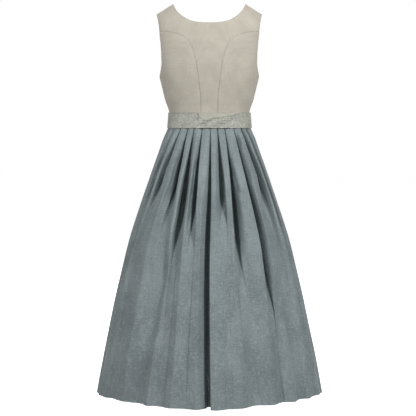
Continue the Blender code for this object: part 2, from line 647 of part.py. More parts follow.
def skirt_pieces(look):
    rings_out, rings_in = [], []
    for z in SKIRT_RINGS:
        line, marks = pleated(z, 1)
        inner = wall_inward(line, SKIRT_WALL)
        rings_out.append(np.column_stack([line, np.full(len(line), z)]))
        rings_in.append(np.column_stack([inner, np.full(len(inner), z)]))
    outer, inner = np.array(rings_out), np.array(rings_in)
    print("seams", marks, "points in a ring", outer.shape[1])
    c, l, f, r = (marks[name] for name in ("centre", "left", "front", "right"))
    count = outer.shape[1]
    spans = {
        "skirt_back_left": (c, l),
        "skirt_front_left": (l, f),
        "skirt_front_right": (f, r + count),
        "skirt_back_right": (r, c),
    }
    for name, (i, j) in spans.items():
        pick = np.arange(i, j + 1) % count
        o, n = outer[:, pick].copy(), inner[:, pick].copy()
        for g, h in ((0, 1), (-1, -2)):
            for grid in (o, n):
                way = grid[:, h] - grid[:, g]
                way /= np.linalg.norm(way, axis=1, keepdims=True)
                grid[:, g] += way * SEAM_GAP / 2
        make(name, o, n, look)


# The apron, its band and ties
def band_place(degrees, z, out):
    """A point at the waist, out metres outside the bodice and skirt."""
    turn = np.radians(degrees)
    half, back, front = (smooth(BAND["z"], BAND[k], z) for k in ("half", "back", "front"))
    s, c = np.sin(turn), np.cos(turn)
    x = (half + out) * np.sign(s) * np.abs(s) ** (2 / BAND_ROUND)
    y = (np.where(c > 0, back, front) + out) * np.sign(c) * np.abs(c) ** (2 / BAND_ROUND)
    return np.stack([x, y, z], axis=-1)


def strip(name, degrees, out, top, bottom, look, rows=3, wall=BAND_WALL):
    """A length of band between two angles, at its own distance out at each angle."""
    v = np.linspace(0.0, 1.0, rows)[:, None]
    z = bottom[None] + (top - bottom)[None] * v
    turn = np.broadcast_to(degrees[None], z.shape)
    far = np.broadcast_to(out[None], z.shape)
    make(name, band_place(turn, z, far + wall), band_place(turn, z, far), look)


def ease(x, a, b):
    t = np.clip((x - a) / (b - a), 0.0, 1.0)
    return t * t * (3 - 2 * t)


def band_pieces(look):
    layer = BAND_WALL + SEAM_GAP
    turn = np.linspace(BAND_END_ANGLE, 360.0 - BAND_END_ANGLE, 29)
    flat = np.full_like(turn, 1.0)
    strip("apron_band", turn, flat * SEAM_GAP, flat * BAND_TOP, flat * BAND_BOTTOM, look, rows=2)
    # The left tie starts at the left end of the band, passes the back under the other tie and goes on
    # over the right end of the band to the knot.
    clear = TIE_STEPS["clear"]
    turn = np.linspace(BAND_END_ANGLE - clear, KNOT_ANGLE - 360.0 + clear, 61)
    rise = ease(-turn, TIE_STEPS["left_rises"][0], TIE_STEPS["left_rises"][1])
    one = np.ones_like(turn)
    strip("apron_tie_left", turn, SEAM_GAP + layer * rise, one * (BAND_TOP - TIE_INSET),
          one * (BAND_BOTTOM + TIE_INSET), look, rows=2)
    # The right tie starts over the right end of the band and passes the back over the other tie.
    dip_from, dip_to = TIE_STEPS["dip"]
    turn = np.concatenate([
        np.linspace(-BAND_END_ANGLE + clear, dip_from, 11)[:-1],
        np.linspace(dip_from, dip_to, 25)[:-1],
        np.linspace(dip_to, KNOT_ANGLE - clear, 27),
    ])
    lift = 1 - ease(turn, -TIE_STEPS["right_lands"][0], -TIE_STEPS["right_lands"][1])
    x = band_place(turn, np.full_like(turn, BAND_TOP), np.full_like(turn, 2 * layer))[:, 0]
    drop = np.interp(x, TIE_DIP["x"], TIE_DIP["drop"], left=0.0, right=0.0)
    bottom = np.full_like(turn, BAND_BOTTOM)
    strip("apron_tie_right", turn, SEAM_GAP + layer * (1 + lift), BAND_TOP - drop, bottom,
          look, rows=3)


def apron(look):
    """The apron panel, gathered into small waves that widen towards its hem."""
    count = APRON_GATHERS * 4 + 1
    u = np.linspace(-1.0, 1.0, count)
    outer, inner = [], []
    for z in APRON_RINGS:
        fall = (BAND_BOTTOM - z) / (BAND_BOTTOM - APRON_HEM)
        half = APRON_HALF_ANGLE - APRON["narrower_at_band"] * (1 - fall) ** 3
        degrees = 180.0 + half * u
        degrees = np.where(degrees > 180.0, degrees - 360.0, degrees)
        tall = APRON["gather"] + APRON["gather_more"] * fall ** 0.5
        wave = tall * (0.5 - 0.5 * np.cos(2 * math.pi * APRON_GATHERS * (u + 1) / 2 + 0.5 * math.pi))
        base = APRON["clear"] + APRON["clear_more"] * min(1.0, fall / APRON["clear_by"])
        far = base + wave * (1 - APRON["edge_calm"] * np.abs(u) ** 4)
        ring = skirt_ring(z)
        s = at_turn(ring, degrees)
        o = on_ring(ring, s, -(far + SKIRT_WALL))
        n = on_ring(ring, s, -far)
        outer.append(np.column_stack([o, np.full(count, z)]))
        inner.append(np.column_stack([n, np.full(count, z)]))
    make("apron_panel", np.array(outer), np.array(inner), look)


def bow_place(across, z, out):
    """A point across metres from the knot along the apron's front, at height z, out from the skirt."""
    shape = np.broadcast(across, z, out).shape
    across, z, out = (np.broadcast_to(k, shape).ravel() for k in (across, z, out))
    points = np.empty((len(z), 3))
    for i in range(len(z)):
        ring = skirt_ring(float(np.clip(z[i], HEM, WAIST_SEAM)))
        total = ring["even"][-1]
        s = at_turn(ring, KNOT_ANGLE) + across[i]
        points[i, :2] = on_ring(ring, np.array([s % total]), np.array([-out[i]]))[0]
        points[i, 2] = z[i]
    return points.reshape(shape + (3,))


def bow(look):
    knot_z = (BAND_TOP + BAND_BOTTOM) / 2
    # The knot is a flattened bead of wrapped cloth
    a = np.linspace(0.0, 2 * math.pi, 17)[:-1]
    b = np.linspace(-math.pi / 2 + KNOT["flat_end"], math.pi / 2 - KNOT["flat_end"], 7)
    across = KNOT["half_wide"] * np.cos(b)[:, None] ** 0.6 * np.cos(a)[None]
    deep = KNOT["half_deep"] * np.cos(b)[:, None] ** 0.6 * np.sin(a)[None]
    up = KNOT["half_tall"] * np.sin(b)[:, None] + 0.0 * a[None]
    knot = bow_place(across, knot_z + up, KNOT["out"] + deep)
    solid_of_rings("tie_knot", knot, look)
    for name, sign, droop, start in zip(LOOPS["name"], LOOPS["side"], LOOPS["droop"], LOOPS["start"]):
        p = np.linspace(0.0, 1.0, 17)[None]
        q = np.linspace(-1.0, 1.0, 5)[:, None]
        reach = start + LOOP["reach"] * np.sin(math.pi * p) ** 0.8
        half = LOOP["half"] + LOOP["half_more"] * np.sin(math.pi * p) ** 0.7
        far = LOOP["out"] + LOOP["out_more"] * (1 - np.cos(math.pi * p)) / 2
        far = far + LOOP["bulge"] * np.sin(math.pi * p) * np.cos(LOOP["bulge_turn"] * q)
        side = sign * (reach * math.cos(droop) + q * half * math.sin(droop))
        high = knot_z - (reach - start) * math.sin(droop) + q * half * math.cos(droop)
        face = bow_place(side, high, far + 0.0 * q)
        back = face - BAND_WALL * normals_of(face) * sign
        make(name, face, back, look)
    for name, sign, length in zip(ENDS["name"], ENDS["side"], ENDS["length"]):
        p = np.linspace(0.0, 1.0, 15)[:, None]
        q = np.linspace(-1.0, 1.0, 5)[None]
        half = END["half"] + END["half_more"] * np.minimum(1.0, END["spread_by"] * p) ** 0.7
        side = sign * (END["aside"] + END["aside_more"] * p ** 0.8) + q * half
        high = knot_z - END["below_knot"] - length * p - END["slant"] * q * sign * p
        curl = END["curl"] * np.sin(END["curl_turns"] * p + sign) * q
        far = END["out"] + (END["out_more"] + curl) * np.minimum(1.0, END["lift_by"] * p)
        face = bow_place(side, high, far + BAND_WALL)
        back = face + BAND_WALL * normals_of(face) * (1.0 if normals_of(face)[0, 2, 1] > 0 else -1.0)
        make(name, face, back, look)


def solid_of_rings(name, grid, look):
    """A closed solid from stacked closed rings of points, with a fan at each end."""
    rows, cols = grid.shape[:2]
    verts = list(map(tuple, grid.reshape(-1, 3)))
    verts += [tuple(grid[0].mean(axis=0)), tuple(grid[-1].mean(axis=0))]
    low, high = rows * cols, rows * cols + 1
    faces = []
    for i in range(rows - 1):
        for j in range(cols):
            k = (j + 1) % cols
            faces.append((i * cols + j, i * cols + k, (i + 1) * cols + k, (i + 1) * cols + j))
    for j in range(cols):
        k = (j + 1) % cols
        faces.append((k, j, low))
        faces.append(((rows - 1) * cols + j, (rows - 1) * cols + k, high))
    mesh = bpy.data.meshes.new(name)
    mesh.from_pydata(verts, [], faces)
    mesh.update()
    centre = grid.reshape(-1, 3).mean(axis=0)
    turn = sum((f.center.x - centre[0]) * f.normal.x + (f.center.y - centre[1]) * f.normal.y
               + (f.center.z - centre[2]) * f.normal.z for f in mesh.polygons)
    if turn < 0:
        mesh.flip_normals()
    thing = bpy.data.objects.new(name, mesh)
    thing.data.materials.append(look)
    garment.objects.link(thing)


garment = bpy.data.collections.new("dirndl")
bpy.context.scene.collection.children.link(garment)
linen = material("bodice_linen", LOOK["bodice"])
skirt_cloth = material("skirt_cloth", LOOK["skirt"])
apron_cloth = material("apron_cloth", LOOK["apron"])

# Bodice
half_gap = SEAM_GAP / 2
back_outline = middle_outline(1, BODICE_ROWS, 7, 9, half_gap, False)
make_panel("bodice_back_centre", back_outline, PANEL_STEP, 1, linen)
front_outline = middle_outline(-1, BODICE_ROWS, 8, 9, half_gap, True)
make_panel("bodice_front_left", front_outline, PANEL_STEP, -1, linen)
make_panel("bodice_front_right", front_outline, PANEL_STEP, -1, linen, flip=True)
for side, place in ((1, "bodice_side_back"), (-1, "bodice_side_front")):
    panel = side_panel(side, BODICE_ROWS, 8, half_gap)
    for end, form in (("_left", panel), ("_right", mirrored(panel))):
        make(place + end, form, inward(form, BODICE_WALL, side), linen)

skirt_pieces(skirt_cloth)
band_pieces(apron_cloth)
apron(apron_cloth)
bow(apron_cloth)
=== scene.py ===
# %% [markdown]
# # A dirndl, worn and seen from the back
# A dirndl is a fitted bodice, a full skirt pleated on to it at the waist, and an apron whose ties
# cross at the back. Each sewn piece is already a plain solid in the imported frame. Here every one of
# them gets a finer sheet of cloth on the same form, and a cloth of its own.

# %% Load the frame
import math

import bpy
import numpy as np
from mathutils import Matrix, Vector
from mathutils.geometry import delaunay_2d_cdt


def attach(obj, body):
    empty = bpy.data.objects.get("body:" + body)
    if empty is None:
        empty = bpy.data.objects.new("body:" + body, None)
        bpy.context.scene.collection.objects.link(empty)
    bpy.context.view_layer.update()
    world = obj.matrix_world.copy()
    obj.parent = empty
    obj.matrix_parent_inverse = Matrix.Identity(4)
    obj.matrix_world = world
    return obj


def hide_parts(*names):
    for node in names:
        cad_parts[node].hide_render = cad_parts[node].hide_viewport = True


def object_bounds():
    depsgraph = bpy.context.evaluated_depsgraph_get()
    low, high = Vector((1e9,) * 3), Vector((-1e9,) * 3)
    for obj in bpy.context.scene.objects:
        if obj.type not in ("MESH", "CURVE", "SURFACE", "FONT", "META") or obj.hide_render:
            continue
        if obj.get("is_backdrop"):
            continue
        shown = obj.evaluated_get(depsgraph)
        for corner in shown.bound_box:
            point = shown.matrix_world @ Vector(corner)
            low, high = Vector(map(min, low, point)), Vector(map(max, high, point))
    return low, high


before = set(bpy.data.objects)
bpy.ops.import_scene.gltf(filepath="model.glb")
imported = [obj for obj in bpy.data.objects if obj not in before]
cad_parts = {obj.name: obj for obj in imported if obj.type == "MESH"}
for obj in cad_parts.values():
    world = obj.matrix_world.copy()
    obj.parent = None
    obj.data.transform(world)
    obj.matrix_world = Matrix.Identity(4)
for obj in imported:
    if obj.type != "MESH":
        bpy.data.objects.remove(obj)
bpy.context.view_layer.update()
print("nodes:", sorted(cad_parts))

# %% [markdown]
# ## The measures
# The garment hangs from the shoulders, so heights are counted down from the neck points. The figure
# inside it is only a table of half widths and depths at a few heights, as a dressmaker's block is.
# A smooth curve through each table gives the size at any height between them.

# %% Sizes in metres
SEAM_GAP = 0.0003
BODICE_WALL = 0.0014
SKIRT_WALL = 0.0012
BAND_WALL = 0.0010
NECK_HALF, TIP_HALF, TIP_DROP = 0.1237, 0.1805, 0.0355
SHOULDER_ROUND = 0.085
WAIST_SEAM, BAND_TOP, BAND_BOTTOM = -0.4000, -0.3700, -0.4226
UNDERARM, HEM, APRON_HEM = -0.2470, -1.3450, -1.3000
APRON_HALF_ANGLE, APRON_GATHERS = 76.0, 20
BAND_END_ANGLE, KNOT_ANGLE = 98.0, 171.0
WAIST_DEPTH, DEPTH_RUSH, VALLEY_SLOPE, WIDEST_SHARE = 0.0045, 0.6, 4.0, 0.27

FIGURE = {
    "z":     [-0.4300, -0.4000, -0.3740, -0.3540, -0.3290, -0.2880, -0.2470, -0.2000, -0.1500, -0.1000,
              -0.0500, 0.0300],
    "half":  [0.1415, 0.1385, 0.1375, 0.1420, 0.1510, 0.1615, 0.1715, 0.1780, 0.1860, 0.1935, 0.1965, 0.1965],
    "back":  [0.0775, 0.0745, 0.0735, 0.0758, 0.0810, 0.0890, 0.0960, 0.1000, 0.1000, 0.0950, 0.0880, 0.0780],
    "front": [0.0965, 0.0945, 0.0943, 0.0990, 0.1075, 0.1200, 0.1270, 0.1220, 0.1080, 0.0920, 0.0780, 0.0680],
    "round": [2.20, 2.20, 2.20, 2.22, 2.25, 2.30, 2.35, 2.40, 2.40, 2.40, 2.40, 2.40],
}
BUST = {"x": 0.082, "z": -0.262, "out": 0.014, "wide": 0.052, "tall": 0.058, "fade": 0.25}
SKIRT = {
    "z":     [-1.3450, -1.2000, -1.1000, -1.0000, -0.9000, -0.8000, -0.7000, -0.6000, -0.5500, -0.5000,
              -0.4600, -0.4226, -0.4000],
    "half":  [0.3935, 0.3660, 0.3450, 0.3240, 0.3000, 0.2740, 0.2420, 0.2075, 0.1900, 0.1720, 0.1580,
              0.1428, 0.1393],
    "back":  [0.2700, 0.2570, 0.2440, 0.2290, 0.2130, 0.1940, 0.1730, 0.1470, 0.1310, 0.1130, 0.0980,
              0.0795, 0.0760],
    "front": [0.2750, 0.2620, 0.2500, 0.2360, 0.2200, 0.2020, 0.1820, 0.1580, 0.1450, 0.1300, 0.1170,
              0.0990, 0.0965],
    "round": [1.60, 1.65, 1.70, 1.75, 1.80, 1.88, 1.95, 2.00, 2.05, 2.10, 2.15, 2.20, 2.20],
}
print("length from neck point to hem:", -HEM, "m")

# %% [markdown]
# A cubic curve through a table could swing past its numbers. Taking each slope from the two steps
# beside it, and zero where they point opposite ways, keeps the curve inside the table.

# %% Curves through tables
def smooth(xs, ys, x):
    """Cubic Hermite curve through (xs, ys): slopes are harmonic means of the neighbouring steps."""
    xs, ys, x = np.asarray(xs, float), np.asarray(ys, float), np.asarray(x, float)
    step = np.diff(xs)
    rise = np.diff(ys) / step
    slope = np.empty_like(ys)
    slope[0], slope[-1] = rise[0], rise[-1]
    same = rise[:-1] * rise[1:] > 0
    both = rise[:-1] + rise[1:]
    slope[1:-1] = np.where(same, 2 * rise[:-1] * rise[1:] / np.where(same, both, 1.0), 0.0)
    i = np.clip(np.searchsorted(xs, x) - 1, 0, len(xs) - 2)
    t = np.clip((x - xs[i]) / step[i], 0.0, 1.0)
    a, b = (1 + 2 * t) * (1 - t) ** 2, t * (1 - t) ** 2
    c, d = t * t * (3 - 2 * t), t * t * (t - 1)
    return a * ys[i] + b * step[i] * slope[i] + c * ys[i + 1] + d * step[i] * slope[i + 1]


def read(table, z, *columns):
    """What the named columns of a table of sizes say at height z."""
    return [smooth(table["z"], table[name], z) for name in columns]


def unit(vectors):
    """Vectors of length one: each divided by its own length."""
    return vectors / np.maximum(np.linalg.norm(vectors, axis=-1, keepdims=True), 1e-12)


def lengths(points, axis=0):
    """The length covered so far along a line or one way of a grid: the running sum of its steps."""
    step = np.diff(points, axis=axis, prepend=np.take(points, [0], axis=axis))
    return np.cumsum(np.linalg.norm(step, axis=-1), axis=axis)


def along(points, n):
    """n points at even lengths along a smooth curve through the given points."""
    points = np.asarray(points, float)
    way = lengths(points)
    at = np.linspace(0.0, way[-1], n)
    return np.stack([smooth(way, points[:, k], at) for k in range(points.shape[1])], axis=1)


def ease(x, a, b):
    """0 before a, 1 after b, and a smooth S between: 3t^2 - 2t^3."""
    t = np.clip((x - a) / (b - a), 0.0, 1.0)
    return t * t * (3 - 2 * t)


def ripples(x, y, seed):
    """Soft uneven waves between -1 and 1: a sum of sines whose directions and phases come from a seed."""
    r = np.random.default_rng(seed)
    total = np.zeros(np.broadcast(x, y).shape)
    for k in range(6):
        a, b, c = r.uniform(-1, 1), r.uniform(-1, 1), r.uniform(0, 6.28)
        total = total + np.sin(6.28 * (a * x + b * y) * (1 + 0.45 * k) + c) / (1 + 0.5 * k)
    return total / 2.6


print("waist half width at the seam:", round(float(read(FIGURE, WAIST_SEAM, "half")[0]), 4), "m")

# %% [markdown]
# ## From a grid of points to a sheet of cloth
# Cloth has two faces. The outer face is a grid of points, the inner face is the same grid moved
# inwards by the thickness of the cloth, and four narrow strips close the rim. The UV map holds real
# metres, so that a weave has the same size on every piece. A second value on each point, called
# painted_shade, is 1 where shade is painted darker into the colour, on a stitched edge, along a band's
# upper edge or deep in a fold, and 0 elsewhere.

# %% Sheets
def normals_of(verts, faces):
    """The normal of each face, as long as twice its area: cross products of two sides from a corner."""
    corner = verts[faces]
    twice = np.cross(corner[:, 1] - corner[:, 0], corner[:, 2] - corner[:, 0])
    if faces.shape[1] == 4:
        twice = twice + np.cross(corner[:, 2] - corner[:, 0], corner[:, 3] - corner[:, 0])
    return twice


def new_object(name, data):
    """An object made from a mesh, light or camera, in the scene."""
    made = bpy.data.objects.new(name, data)
    bpy.context.scene.collection.objects.link(made)
    return made


def sew(name, verts, faces, uv, finish, painted_shade=None):
    """A mesh from points and faces (all with as many corners), facing outwards, with its UV map in metres."""
    if (verts[faces].mean(axis=1) * normals_of(verts, faces)).sum() < 0:
        faces = faces[:, ::-1]
    mesh = bpy.data.meshes.new(name)
    mesh.vertices.add(len(verts))
    mesh.vertices.foreach_set("co", verts.ravel().astype(np.float32))
    mesh.loops.add(faces.size)
    mesh.loops.foreach_set("vertex_index", faces.ravel().astype(np.int32))
    mesh.polygons.add(len(faces))
    mesh.polygons.foreach_set("loop_start", np.arange(0, faces.size, faces.shape[1], dtype=np.int32))
    mesh.update(calc_edges=True)
    mesh.uv_layers.new(name="cloth").data.foreach_set("uv", uv[faces.ravel()].ravel().astype(np.float32))
    # painted_shade marks where shade is painted darker into the cloth's colour
    if painted_shade is not None:
        mesh.attributes.new("painted_shade", "FLOAT", "POINT").data.foreach_set("value", painted_shade.astype(np.float32))
    mesh.polygons.foreach_set("use_smooth", np.ones(len(faces), bool))
    mesh.set_sharp_from_angle(angle=math.radians(70))
    mesh.materials.append(finish)
    return new_object(name, mesh)


def quads(*corners):
    """Four-cornered faces from four grids of point numbers, one grid for each corner."""
    return np.stack([corner.ravel() for corner in corners], axis=1)


def face_grid(index):
    """The faces of a whole grid of point numbers."""
    return quads(index[:-1, :-1], index[:-1, 1:], index[1:, 1:], index[1:, :-1])


def lay_out(name, outer, inner, finish, uv=None, painted_shade=None):
    """A closed sheet between two grids of points (rows, columns, 3). With no uv, lengths give it."""
    rows, cols = outer.shape[:2]
    index = np.arange(rows * cols).reshape(rows, cols)
    under = index + rows * cols
    faces = np.concatenate([
        face_grid(index),
        quads(under[1:, :-1], under[1:, 1:], under[:-1, 1:], under[:-1, :-1]),
        quads(under[0, :-1], under[0, 1:], index[0, 1:], index[0, :-1]),
        quads(index[-1, :-1], index[-1, 1:], under[-1, 1:], under[-1, :-1]),
        quads(index[:-1, 0], index[1:, 0], under[1:, 0], under[:-1, 0]),
        quads(under[:-1, -1], under[1:, -1], index[1:, -1], index[:-1, -1]),
    ])
    if uv is None:
        uv = np.stack([lengths(outer, 1), lengths(outer, 0)], axis=2)
    verts = np.concatenate([outer.reshape(-1, 3), inner.reshape(-1, 3)])
    edges = None if painted_shade is None else np.concatenate([painted_shade.ravel()] * 2)
    return sew(name, verts, faces, np.concatenate([uv.reshape(-1, 2)] * 2), finish, edges)


def directions(grid):
    """Unit normals of a grid, from the cross product of its differences along rows and columns."""
    return unit(np.cross(np.gradient(grid, axis=1), np.gradient(grid, axis=0)))


def area_of(grid):
    """The area of a grid of points, from the diagonals of its cells."""
    a, b = grid[1:, 1:] - grid[:-1, :-1], grid[1:, :-1] - grid[:-1, 1:]
    return float(np.linalg.norm(np.cross(a, b), axis=2).sum() / 2)


print("a sheet is two grids and a rim")

# %% [markdown]
# ## Shader sums in plain Python
# A material in Blender is a graph of nodes. Written out node by node it is hard to read, so one small
# class wraps a socket and lets +, - and * add the Math nodes.

# %% Shader maths
class Wire:
    """One shader value; sums on it add Math nodes to its finish."""

    def __init__(self, finish, socket):
        self.finish, self.socket = finish, socket

    def sum(self, operation, first, second):
        return self.finish.node("ShaderNodeMath", {"operation": operation}, {0: first, 1: second})

    def __add__(self, other):
        return self.sum("ADD", self, other)

    def __radd__(self, other):
        return self.sum("ADD", other, self)

    def __rsub__(self, other):
        return self.sum("SUBTRACT", other, self)

    def __mul__(self, other):
        return self.sum("MULTIPLY", self, other)


class Finish:
    """A material, with one way to add any node to it."""

    def __init__(self, name, roughness, sheen, sheen_tint=(1.0, 1.0, 1.0, 1.0)):
        self.material = bpy.data.materials.new(name)
        self.material.use_nodes = True
        self.tree = self.material.node_tree
        self.shader = self.tree.nodes["Principled BSDF"]
        self.shader.inputs["Sheen Weight"].default_value = sheen
        self.shader.inputs["Sheen Roughness"].default_value = 0.45
        self.shader.inputs["Sheen Tint"].default_value = sheen_tint
        self.shader.inputs["Roughness"].default_value = roughness
        self.shader.inputs["Specular IOR Level"].default_value = 0.25

    def node(self, kind, settings=None, inputs=None, out=0):
        """Add a node: its settings first, then values or wires into its sockets; gives its output."""
        made = self.tree.nodes.new(kind)
        for key, value in (settings or {}).items():
            setattr(made, key, value)
        for key, value in (inputs or {}).items():
            self.feed(made.inputs[key], value)
        return Wire(self, made.outputs[out])

    def feed(self, socket, value):
        if isinstance(value, Wire):
            self.tree.links.new(value.socket, socket)
        else:
            socket.default_value = value

    def mix(self, first, second, share):
        """Blend two colours by a share from 0 to 1."""
        return self.node("ShaderNodeMix", {"data_type": "RGBA"}, {0: share, 6: first, 7: second}, out=2)

    def step(self, value, low, high):
        """0 below low, 1 above high, smooth between."""
        return self.node("ShaderNodeMapRange", {"interpolation_type": "SMOOTHSTEP"},
                         {"Value": value, "From Min": low, "From Max": high})

    def cloth_at(self, across=1.0, down=1.0):
        """The place on the cloth in metres, times a scale each way."""
        uv = self.node("ShaderNodeUVMap", {"uv_map": "cloth"})
        return self.node("ShaderNodeVectorMath", {"operation": "MULTIPLY"}, {0: uv, 1: (across, down, 1.0)})

    def noise(self, place, scale, detail, rough=0.5):
        return self.node("ShaderNodeTexNoise", None,
                         {"Vector": place, "Scale": scale, "Detail": detail, "Roughness": rough})

    def paint_shade(self, colour, line, share, low=0.55):
        """Painted shade: blend to the shade's dark colour, given as line, where painted_shade is more than
        low.
        """
        near = self.node("ShaderNodeAttribute", {"attribute_name": "painted_shade"}, out=2)
        return self.mix(colour, line, self.step(near, low, 1.0) * share)

    def wear(self, colour, roughness, normal):
        """Join the finished colour, roughness and bump to the shader; gives the material."""
        for name, wire in (("Base Color", colour), ("Roughness", roughness), ("Normal", normal)):
            self.feed(self.shader.inputs[name], wire)
        return self.material

    def bump(self, height, distance, strength, under=None):
        inputs = {"Height": height, "Distance": distance, "Strength": strength}
        if under is not None:
            inputs["Normal"] = under
        return self.node("ShaderNodeBump", None, inputs)


print("shader sums ready")

# %% [markdown]
# ## The bodice linen
# The bodice is a plain matt linen. What shows at a step's distance is a little unevenness: threads a
# bit thicker or paler than their neighbours, running down and across. Two stretched noises give that,
# and a finer one gives the weave in the bump.

# %% Bodice linen
def make_linen(name, colour, deep):
    f = Finish(name, 0.86, 0.25, (0.9, 0.87, 0.82, 1.0))
    down = f.noise(f.cloth_at(900.0, 26.0), 1.0, 3.0, 0.6)
    over = f.noise(f.cloth_at(26.0, 900.0), 1.0, 3.0, 0.6)
    patch = f.noise(f.cloth_at(), 16.0, 3.0, 0.55)
    threads = (down + over) * 0.5
    ground = f.mix(deep, colour, f.step(threads * 0.7 + patch * 0.3, 0.36, 0.62))
    weave = f.noise(f.cloth_at(1300.0, 1300.0), 1.0, 1.0)
    # Painted shade: the linen darkens towards a deep brown along its seams and outer edges.
    return f.wear(f.paint_shade(ground, (0.120, 0.107, 0.085, 1.0), 0.36), 0.80 + threads * 0.12,
                  f.bump(threads * 0.6 + weave * 0.4, 0.0004, 0.6))


linen = make_linen("bodice_plain_linen", (0.396, 0.369, 0.316, 1.0), (0.318, 0.292, 0.247, 1.0))
print("finish:", linen.name)

# %% [markdown]
# ## The skirt cloth
# The skirt is a grey-blue cloth with slubs and a pattern in its own colour: small curls that show only
# because their threads lie the other way. The distance to the nearest of many scattered points makes
# rings, and a noise that bends the place first turns the rings into curls. Where painted_shade is high,
# deep in a narrow fold, shade is painted in: the colour is darkened nearly to black.

# %% Curled pattern
def curls(f, size, bend, open_at):
    """Broken rings round scattered points: 1 on a curl, 0 off it. size is the spacing in metres."""
    place = f.cloth_at()
    sway = f.node("ShaderNodeTexNoise", None, {"Vector": place, "Scale": 1.4 / size, "Detail": 1.0}, out=1)
    pushed = f.node("ShaderNodeVectorMath", {"operation": "SCALE"}, {0: sway, "Scale": bend * size})
    bent = f.node("ShaderNodeVectorMath", {"operation": "ADD"}, {0: place, 1: pushed})
    far = f.node("ShaderNodeTexVoronoi", {"feature": "F1"},
                 {"Vector": bent, "Scale": 1.0 / size, "Randomness": 0.85})
    ring = f.step(far, 0.13, 0.22) * (1 - f.step(far, 0.34, 0.44))
    broken = f.noise(bent, 1.1 / size, 0.0)
    return ring * f.step(broken, open_at - 0.05, open_at + 0.08)


def make_skirt_cloth(name, colour, deep, curl):
    f = Finish(name, 0.74, 0.22, (0.8, 0.87, 0.9, 1.0))
    slub_down = f.noise(f.cloth_at(310.0, 30.0), 1.0, 3.0, 0.65)
    slub_over = f.noise(f.cloth_at(34.0, 290.0), 1.0, 3.0, 0.65)
    slubs = slub_down * 0.45 + slub_over * 0.55
    fleck = f.noise(f.cloth_at(), 330.0, 2.0, 0.6)
    cloud = f.noise(f.cloth_at(1.0, 0.7), 11.0, 3.0, 0.55)
    ground = f.mix(deep, colour, f.step(slubs * 0.38 + fleck * 0.38 + cloud * 0.24, 0.42, 0.58))
    height = f.node("ShaderNodeSeparateXYZ", None, {0: f.node("ShaderNodeTexCoord", out=3)}, out=2)
    figure = curls(f, 0.0125, 1.0, 0.46) * (1.0 - f.step(height, -1.15, -0.55) * 0.7)
    woven = f.mix(ground, curl, figure * 0.30)
    under = f.bump(slubs * 0.6 + fleck * 0.4, 0.0005, 0.5)
    # Painted shade: cloth deep in a narrow fold is darkened nearly to black where painted_shade is high.
    return f.wear(f.paint_shade(woven, (0.030, 0.040, 0.043, 1.0), 0.70, 0.0), 0.78 - figure * 0.10,
                  f.bump(figure, 0.0002, 0.4, under))


skirt_cloth = make_skirt_cloth("skirt_slub_cloth", (0.188, 0.222, 0.227, 1.0), (0.112, 0.136, 0.142, 1.0),
                               (0.265, 0.306, 0.309, 1.0))
print("finish:", skirt_cloth.name)

# %% [markdown]
# ## The apron jacquard
# The band and ties are a silvery jacquard whose small light curls stand clearly off a grey-green
# ground. It takes the same curls, smaller, closer and paler, and a little sheen from its smooth yarn.

# %% Apron jacquard
def make_jacquard(name, colour, deep, curl):
    f = Finish(name, 0.60, 0.30, (0.9, 0.92, 0.88, 1.0))
    figure = curls(f, 0.0070, 1.3, 0.38)
    threads = f.noise(f.cloth_at(700.0, 60.0), 1.0, 2.0)
    patch = f.noise(f.cloth_at(), 40.0, 3.0)
    ground = f.mix(deep, colour, f.step(threads * 0.5 + patch * 0.5, 0.36, 0.62))
    woven = f.mix(ground, curl, figure * 0.6)
    under = f.bump(threads, 0.0003, 0.4)
    # Painted shadow: a dark line is blended in along the upper edges of the band and ties.
    return f.wear(f.paint_shade(woven, (0.060, 0.062, 0.052, 1.0), 0.5), 0.66 - figure * 0.14,
                  f.bump(figure, 0.0004, 0.6, under))


jacquard = make_jacquard("apron_jacquard", (0.282, 0.285, 0.250, 1.0), (0.205, 0.209, 0.183, 1.0),
                         (0.415, 0.420, 0.370, 1.0))
jacquard_back = make_jacquard("apron_jacquard_back", (0.312, 0.313, 0.270, 1.0), (0.272, 0.273, 0.235, 1.0),
                              (0.375, 0.376, 0.328, 1.0))
print("finishes:", jacquard.name, jacquard_back.name)

# %% [markdown]
# ## The bodice
# Dressmakers shape a bodice with seams, not with stretch. The back has two seams that sweep out of the
# armholes and run down to the waist, and the front has two over the bust. Each panel is drawn flat as
# four curves, its inside is filled in from them, and the flat point is then laid on the figure.

# %% Seams, armholes and necklines
BACK_SEAM = {
    "x": [0.0285, 0.0285, 0.0322, 0.0380, 0.0442, 0.0500, 0.0580, 0.0692, 0.0850, 0.1085,
          0.1340, 0.1692],
    "z": [-0.4000, -0.3215, -0.2850, -0.2380, -0.1990, -0.1750, -0.1500, -0.1300, -0.1165, -0.1055,
          -0.0995, -0.0960],
}
BACK_ARMHOLE = {
    "x": [0.1713, 0.1675, 0.1628, 0.1630, 0.1655, 0.1692, 0.1735, 0.1772, 0.1805],
    "z": [-0.2470, -0.2340, -0.2000, -0.1720, -0.1400, -0.0960, -0.0660, -0.0480, -0.0355],
}
BACK_NECK = {
    "x": [0.1237, 0.1175, 0.1085, 0.0960, 0.0830, 0.0660, 0.0450, 0.0230, 0.0],
    "z": [0.0, -0.0150, -0.0290, -0.0420, -0.0515, -0.0605, -0.0660, -0.0685, -0.0690],
}
FRONT_SEAM = {
    "x": [0.0500, 0.0540, 0.0620, 0.0740, 0.0850, 0.0960, 0.1120, 0.1300, 0.1480],
    "z": [-0.4000, -0.3700, -0.3300, -0.2900, -0.2550, -0.2250, -0.1900, -0.1650, -0.1500],
}
